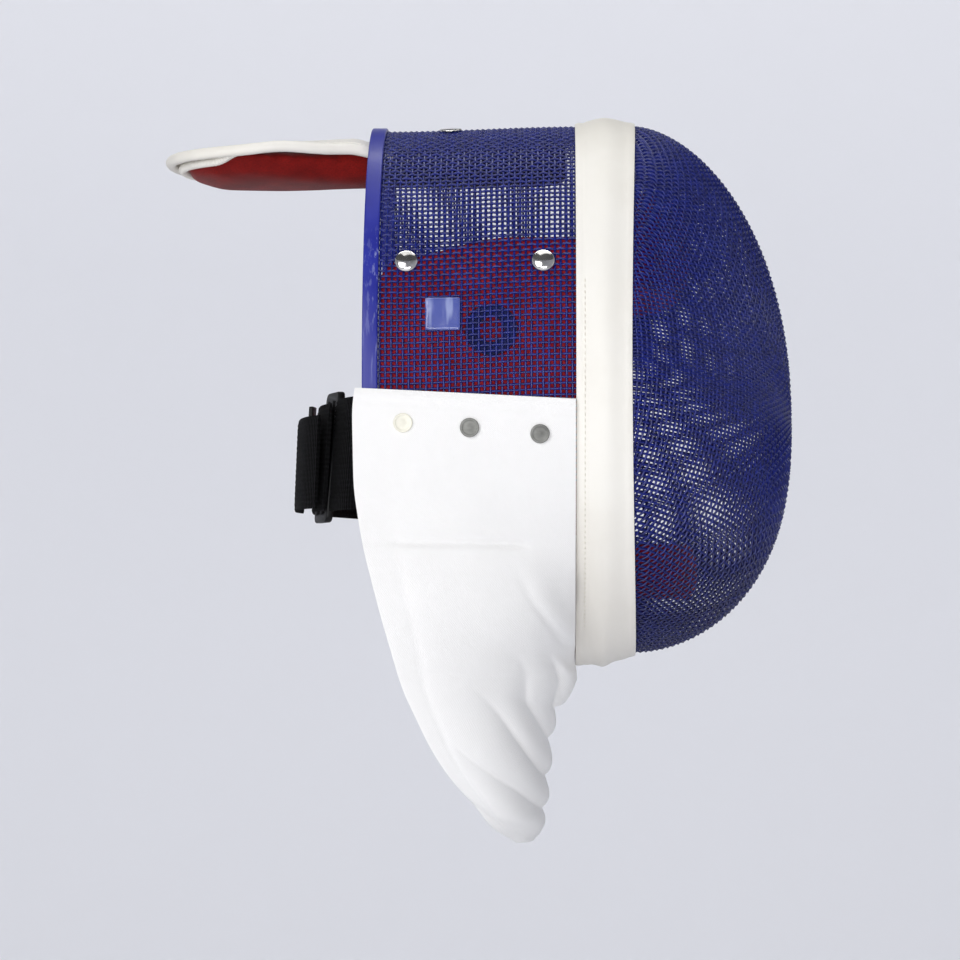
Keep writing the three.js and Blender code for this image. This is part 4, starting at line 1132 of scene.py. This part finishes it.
# Swells a padded piece with cloth pressure, with no point moved further than the cap
def inflate(piece, cap):
    remesh = piece.modifiers.new("remesh", "REMESH")
    remesh.mode = "VOXEL"
    remesh.voxel_size = padRecipe["voxel"] * mm
    bakeModifiers(piece)
    rest = readPoints(piece)
    cloth = piece.modifiers.new("cloth", "CLOTH")
    cloth.settings.quality = padRecipe["quality"]
    cloth.settings.use_pressure = True
    cloth.settings.uniform_pressure_force = padRecipe["pressure"]
    cloth.settings.effector_weights.gravity = 0.0
    cloth.point_cache.frame_start = 1
    cloth.point_cache.frame_end = padRecipe["frames"]
    for number in range(1, padRecipe["frames"] + 1):
        scene.frame_set(number)
    evaluated = piece.evaluated_get(bpy.context.evaluated_depsgraph_get())
    swollen = np.zeros(len(piece.data.vertices) * 3)
    mesh = evaluated.to_mesh()
    mesh.vertices.foreach_get("co", swollen)
    evaluated.to_mesh_clear()
    piece.modifiers.remove(cloth)
    scene.frame_set(1)
    move = swollen.reshape(-1, 3) - rest
    size = np.linalg.norm(move, axis=1, keepdims=True)
    move *= np.minimum(1, cap * mm / np.maximum(size, 1e-9))
    piece.data.vertices.foreach_set("co", (rest + move).ravel())
    piece.data.update()


def readPoints(piece):
    points = np.zeros(len(piece.data.vertices) * 3)
    piece.data.vertices.foreach_get("co", points)
    return points.reshape(-1, 3)


# Keeps what the live modifiers make as the piece's own mesh
def bakeModifiers(piece):
    bpy.context.view_layer.update()
    evaluated = piece.evaluated_get(bpy.context.evaluated_depsgraph_get())
    mesh = bpy.data.meshes.new_from_object(evaluated)
    for modifier in list(piece.modifiers):
        piece.modifiers.remove(modifier)
    piece.data = mesh


# A CAD pad's own shape, a little smaller, as the start of its cushion
def copyNode(name, node, shrink):
    work = bmesh.new()
    work.from_mesh(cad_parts[node].data)
    bmesh.ops.remove_doubles(work, verts=work.verts, dist=1e-6)
    work.normal_update()
    moved = [(vert, vert.normal.copy()) for vert in work.verts]
    for vert, normal in moved:
        vert.co -= normal * shrink * mm
    mesh = bpy.data.meshes.new(name)
    work.to_mesh(mesh)
    work.free()
    return addObject(name, mesh)


def makePad(name, node, finish, cap):
    piece = copyNode(name, node, padRecipe["shrink"])
    inflate(piece, cap)
    piece.data.materials.clear()
    piece.data.materials.append(finish)
    level = piece.modifiers.new("level", "SMOOTH")
    level.iterations = padRecipe["evened"]
    fine = piece.modifiers.new("fine", "SUBSURF")
    fine.levels = fine.render_levels = 1
    bakeModifiers(piece)
    piece.data.shade_smooth()
    finishPiece(piece, "red_felt", node)
    print(name, "faces", len(piece.data.polygons))


lining = {"rearX": -51.0, "frontX": 61.0, "topZ": -52.0, "topRise": 14.0, "lowerZ": -198.0, "wall": 11.0,
          "edge": 3.0, "ease": 1.6, "meshWall": 1.8, "gap": 0.9, "channels": 3, "ringX": 8.3, "ringZ": -90.0,
          "ringHole": 14.2, "ringDepth": 2.9, "corner": 9.0, "seam": 1.6, "edgeEase": 1.0}


# A quilted panel against the inside of the side mesh, with a round recess for the ear ring
def sideLining(hand, word):
    rows, columns = 120, 150
    u, v = shareGrids(rows, columns)
    x = mix(lining["rearX"], lining["frontX"], u)
    top = lining["topZ"] + lining["topRise"] * smooth(u * 1.6)
    corner = lining["corner"] * (np.clip(np.abs(u * 2 - 1) - 0.86, 0, None) / 0.14) ** 2
    z = mix(top - corner, lining["lowerZ"] + corner, v)
    share = np.linspace(0, 0.5, 801)
    skin, out = np.zeros((rows, columns, 3)), np.zeros((rows, columns, 3))
    for i in range(rows):
        line = sidePoint(x[i, 0], share)
        at = np.interp(z[i], line[:, 2], share)
        skin[i], out[i] = sidePoint(x[i, 0], at), surfaceNormal(sidePoint, x[i, 0], at)
    rounded = (np.clip(np.sin(np.pi * u), 0, 1) * np.clip(np.sin(np.pi * v), 0, 1)) ** 0.35
    lobe = np.abs(np.sin(np.pi * u * lining["channels"])) ** 0.5
    seam = lining["seam"] * (1 - lobe) * smooth(rounded * 1.6 - 0.3)
    wrinkle = 0.5 * noiseWave(x * 0.22, z * 0.12, 51) * rounded
    ring = np.hypot(x - lining["ringX"], (z - lining["ringZ"]))
    recess = lining["ringDepth"] * smooth((lining["ringHole"] - ring) / 1.2 + 0.5)
    near = lining["meshWall"] + lining["gap"] + lining["ease"] * smooth(u) * smooth(v)
    thick = mix(lining["edge"], lining["wall"], rounded) - seam
    edge = lining["edgeEase"] * (1 - smooth(rounded * 2.2))
    outer = skin - out * (near + edge + 0.5 * seam + recess + 0.3 * wrinkle)[..., None]
    inner = skin - out * (near + thick - edge + wrinkle * 0.5)[..., None]
    for grid in (outer, inner):
        grid[..., 1] *= -hand
    piece = wallMesh(f"side_lining_{word}", outer, inner, redLining, sharp=80)
    finishPiece(piece, "red_felt", f"side_pad_{word}")


for hand, word in ((-1, "right"), (1, "left")):
    sideLining(hand, word)
makePad("forehead_roll", "forehead_pad", redLining, cap=4.0)
makePad("chin_roll", "chin_pad", redLining, cap=3.0)
makePad("tongue_lining", "tongue_pad", shadedCrownLining, cap=1.0)

# Ear rings: soft washers let into the lining


# Seat and outward direction of a round flat CAD piece, in millimetres
def seatOf(node):
    points = np.array([v.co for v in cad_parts[node].data.vertices]) / mm
    middle = (points.min(0) + points.max(0)) / 2
    _, _, turn = np.linalg.svd(points - points.mean(0))
    out = turn[2] * np.sign(turn[2] @ (middle - [middle[0], 0, hoop["widestZ"]]))
    return middle + out * ((points - middle) @ out).min(), out


# A round piece about +Z from (radius, height) points. The profile closes on itself or on the axis
def lathe(name, profile, finish, sides=48):
    radius, height = np.array(profile, float).T[..., None]
    angle = np.linspace(0, 2 * np.pi, sides, endpoint=False)
    loops = np.stack([radius * np.cos(angle), radius * np.sin(angle), height + 0 * angle], -1)
    faces = gridFaces(len(profile), sides, 0, True)
    if radius[0] > 0:
        last = (len(profile) - 1) * sides
        faces += [(j, (j + 1) % sides, last + (j + 1) % sides, last + j) for j in range(sides)]
    return makeMesh(name, loops.reshape(-1, 3), faces, finish, sharp=40)


def roundCopies(name, nodes, shape, finish, slotName):
    found = [seatOf(node) for node in nodes]
    points, outward = np.array([seat for seat, _ in found]), np.array([out for _, out in found])
    along = np.tile([1.0, 0, 0], (len(nodes), 1))
    piece = copies(name, shape, points, outward, along, finish)
    shadeSoft(piece.data, 40)
    finishPiece(piece, slotName, *nodes)


def softRing(outer, inner, height, steps=20):
    middle, half = (outer + inner) / 2, (outer - inner) / 2
    angle = np.linspace(0, 2 * np.pi, steps, endpoint=False)
    power = 0.55
    return [(middle + half * np.sign(np.cos(a)) * abs(np.cos(a)) ** power,
             height / 2 + height / 2 * np.sign(np.sin(a)) * abs(np.sin(a)) ** power) for a in angle]


washer = {"outer": 13.8, "inner": 6.8, "height": 2.5, "sides": 64}
washerProfile = softRing(washer["outer"], washer["inner"], washer["height"])
roundCopies("ear_washers", ["ear_ring_right", "ear_ring_left"],
            lathe("washer", washerProfile, navyLining, washer["sides"]), navyLining, "navy_felt")

# Rivets and snaps

rivet = {"radius": 6.35, "flare": 0.96, "foot": 0.25, "rim": 0.45}
rivetRows = {  # height of the dome, then its nodes
    "chrome_rivets": (3.0, ["mesh_rivet_right_1", "mesh_rivet_right_2", "mesh_rivet_left_1",
                            "mesh_rivet_left_2"]),
    "crown_rivets": (1.2, ["tongue_rivet_right", "tongue_rivet_left"])}


def domeProfile(height):
    radius, rim = rivet["radius"], rivet["rim"]
    profile = [(0, 0), (radius * rivet["flare"], 0), (radius, rivet["foot"])]
    for a in np.linspace(0, np.pi / 2, 12)[:-1]:
        profile.append((radius * math.cos(a), rim + (height - rim) * math.sin(a)))
    return [*profile, (0, height)]


for name, (height, nodes) in rivetRows.items():
    shape = lathe("rivet", domeProfile(height), chromeFinish)
    roundCopies(name, nodes, shape, chromeFinish, "chrome")

snapProfile = [  # radius and height of a cap with a raised rim
    (0, 0), (4.9, 0), (5.1, 0.2), (5.1, 1.0), (4.9, 1.4), (4.5, 1.6), (4.0, 1.5), (3.7, 1.15), (3.4, 1.1),
    (1.6, 1.1), (1.3, 1.25), (0, 1.3)]
snapRows = {  # finish and slot, then the numbers of the snaps down each side
    "grey_snaps": (greySnapFinish, "grey_snap", (2, 3)),
    "cream_snaps": (creamSnapFinish, "cream_plastic", (1,))}
for name, (finish, slotName, numbers) in snapRows.items():
    nodes = [f"bib_snap_{word}_{i}" for word in ("right", "left") for i in numbers]
    roundCopies(name, nodes, lathe("snap", snapProfile, finish, 40), finish, slotName)
print("rivets and snaps made")

# Blank tag: a thin plate of film stuck to the right side mesh

tag = {"width": 18.5, "height": 17.5, "thick": 1.0, "x": -17.3, "z": -82.5, "lift": 0.65, "points": 30}


def blankTag():
    v = np.linspace(0, 0.5, 2001)
    line = sidePoint(tag["x"], v)
    place = np.interp(tag["z"], line[:, 2], v)
    a, b = np.meshgrid(*[np.linspace(-1, 1, tag["points"])] * 2, indexing="ij")
    squeeze = 1 - 0.02 * np.clip(np.abs(a) ** 10 * np.abs(b) ** 10, 0, 1)
    x = tag["x"] + a * squeeze * tag["width"] / 2
    slope = np.linalg.norm(sidePoint(tag["x"], place + nudge) - sidePoint(tag["x"], place)) / nudge
    skin = sidePoint(x, place + b * squeeze * tag["height"] / 2 / slope)
    out = normals(skin)
    wave = 0.12 * noiseWave(a * 5, b * 5, 31)
    low = skin + out * tag["lift"]
    thick = tag["thick"] * (1 - 0.5 * np.maximum(np.abs(a), np.abs(b)) ** 30)
    high = skin + out * (tag["lift"] + thick + wave)[..., None]
    finishPiece(wallMesh("blank_tag", high, low, tagFinish), "blue_tag", "seal_plate")


blankTag()

# Back strap

strap = {"wall": 1.9, "z": -156.0, "rib": 0.12, "step": 1.5, "evened": 60, "insideX": -30.0, "points": 41}
strapPlans = {  # plan points in millimetres, from right to left
    "strap_anchor": [
        (-46, -97.95), (-52, -97.95), (-58, -97.95), (-63, -96.5), (-69, -90), (-74, -78), (-78, -66),
        (-81.5, -54)],
    "strap_round": [
        (-80.5, -70), (-87.0, -52), (-90.5, -25), (-91.5, 0), (-90, 28), (-84, 58), (-74, 81), (-68.5, 91),
        (-63, 96.5), (-58, 97.95), (-52, 97.95), (-46, 97.95)],
    "strap_fold": [(-86, -68), (-93.5, -56), (-98.5, -38), (-101.6, -15), (-102, 0), (-100, 16)]}
strapCuts = {  # width, height of the middle line, lean
    "strap_anchor": (60.5, -155.5, 0.08), "strap_round": (58.0, -156.5, 0.06),
    "strap_fold": (50.5, -159.0, 0.04)}
strapParts = {  # name of the piece, its bevel, its move from the CAD place, lean
    "strap_slide": ("strap_slide_moulding", 1.3, (5.6, 0, 1.7), 0.1),
    "strap_tab": ("strap_end_tab", 0.6, (2.6, 0, 7.8), 0.05)}


# A rounded line through plan points
def smoothLine(points, step):
    return resample(evened(resample(np.array(points, float), 1.0), strap["evened"]), step)


def webbing(name):
    width, midZ, lean = strapCuts[name]
    line = smoothLine(strapPlans[name], strap["step"])
    step = unit(np.gradient(line, axis=0))
    away = np.stack([step[:, 1], -step[:, 0]], 1)
    away *= np.sign((away * (line - [strap["insideX"], 0])).sum(1, keepdims=True))
    across = np.linspace(-1, 1, strap["points"])
    rows = len(line)
    uneven = 0.35 * noiseWave(np.arange(rows)[:, None] * 0.1, across[None, :], 41)
    height = midZ + across[None, :] * width / 2 + uneven
    edge = 1 - 0.55 * np.abs(across) ** 14
    rib = strap["rib"] * np.sin(across * width / 2 * 2.0)[None, :]
    half = strap["wall"] / 2 * edge[None, :] + rib * np.ones((rows, 1))
    middle = np.repeat(line[:, None, :], len(across), 1)
    outer = np.dstack([middle + away[:, None, :] * half[..., None], height])
    inner = np.dstack([middle - away[:, None, :] * half[..., None], height])
    run = np.arange(rows)[:, None] * strap["step"] * np.ones((1, len(across)))
    flat = np.dstack([run, height * np.ones((rows, 1)), 0 * run])
    for grid in (outer, inner):
        grid[..., 0] += lean * (grid[..., 2] - strap["z"])
    piece = wallMesh(name + "_webbing", outer, inner, webbingFinish, flat=flat)
    finishPiece(piece, "black_webbing", name)


for strapName in strapPlans:
    webbing(strapName)


# A moulded part: its CAD shape with rounded edges
def plasticPart(node, name, bevel, move, lean):
    piece = copyNode(name, node, 0.0)
    points = readPoints(piece)
    points += np.array(move) * mm
    points[:, 0] += lean * (points[:, 2] - strap["z"] * mm)
    piece.data.vertices.foreach_set("co", points.ravel())
    piece.data.materials.clear()
    piece.data.materials.append(blackPlastic)
    flat = piece.modifiers.new("flat", "DECIMATE")
    flat.decimate_type = "DISSOLVE"
    flat.angle_limit = math.radians(1)
    soft = piece.modifiers.new("soft", "BEVEL")
    soft.width = bevel * mm
    soft.segments = 3
    soft.limit_method = "ANGLE"
    soft.angle_limit = math.radians(35)
    bakeModifiers(piece)
    shadeSoft(piece.data, 40)
    finishPiece(piece, "black_plastic", node)


for node, values in strapParts.items():
    plasticPart(node, *values)
print("strap made")

# Studio: a pale sweep, soft lights and the photo's camera

studio = {"floorZ": -0.95, "radius": 3.4, "rise": 3.2, "bend": 1.3, "pale": (228, 229, 234),
          "haze": (222, 223, 228), "sky": (0.9, 0.91, 0.95, 1), "skyStrength": 0.11}
view = {"azimuth": 1.4, "elevation": -2.5, "distance": 1.7, "aim": (0.0, 0.0, -0.166),
        "focalPixels": 3022.0, "framePixels": 960, "sensor": 36.0, "far": 50.0}
lights = {  # place, aim, size and power
    "key": ((-1.1, -2.3, 0.45), (0, 0, -0.15), (1.5, 1.4), 29),
    "fill": ((0.2, -2.6, -0.4), (0, 0, -0.25), (1.3, 0.4), 20),
    "top": ((0.1, -0.2, 1.9), (0, 0, -0.1), (1.8, 1.2), 8),
    "wall": ((0, 0.7, 2.4), (0, 3.4, 0.1), (3.0, 0.8), 58)}


def paintStage(graph, place):
    haze = graph.noise(place, 1.2, 2.0)
    pale, dull = linear(*studio["pale"]), linear(*studio["haze"])
    return {"Base Color": graph.mixColour(haze * 0.04, pale, dull)}


# A round floor that curves up into a wall on all sides
def sweep():
    radius, bend = studio["radius"], studio["bend"]
    profile = [(0.001, 0.0), (radius - bend, 0.0)]
    for a in np.linspace(0, np.pi / 2, 24)[1:]:
        profile.append((radius - bend * (1 - np.sin(a)), bend * (1 - np.cos(a))))
    profile.append((radius, studio["rise"]))
    turns = np.linspace(0, 2 * np.pi, 96, endpoint=False)
    points = [(r * np.cos(a), r * np.sin(a), studio["floorZ"] + h) for r, h in profile for a in turns]
    mesh = bpy.data.meshes.new("sweep")
    mesh.from_pydata(points, [], gridFaces(len(profile), len(turns), ring=True))
    mesh.materials.append(material("stage_paper", paintStage, Roughness=1.0))
    mesh.shade_smooth()
    addObject("sweep", mesh)


def areaLight(name, place, aim, size, power):
    data = bpy.data.lights.new(name, "AREA")
    data.shape = "RECTANGLE"
    data.size, data.size_y = size
    data.energy = power
    lamp = addObject(name, data)
    lamp.visible_camera = False
    lamp.location = place
    lamp.rotation_euler = (Vector(aim) - Vector(place)).to_track_quat("-Z", "Y").to_euler()


def camera():
    azimuth, elevation = math.radians(view["azimuth"]), math.radians(view["elevation"])
    aim = Vector(view["aim"])
    level = math.cos(elevation)
    away = Vector((math.sin(azimuth) * level, -math.cos(azimuth) * level, math.sin(elevation)))
    data = bpy.data.cameras.new("camera")
    data.sensor_fit = "HORIZONTAL"
    data.sensor_width = view["sensor"]
    data.lens = view["focalPixels"] / view["framePixels"] * view["sensor"]
    data.clip_end = view["far"]
    eye = addObject("camera", data)
    eye.location = aim + away * view["distance"]
    eye.rotation_euler = (-away).to_track_quat("-Z", "Y").to_euler()
    scene.camera = eye


sweep()
for name, values in lights.items():
    areaLight(name, *values)
world = bpy.data.worlds.new("studio")
world.use_nodes = True
sky = world.node_tree.nodes["Background"]
sky.inputs["Color"].default_value = studio["sky"]
sky.inputs["Strength"].default_value = studio["skyStrength"]
scene.world = world
scene.view_settings.view_transform = "Standard"
camera()
print("studio made")
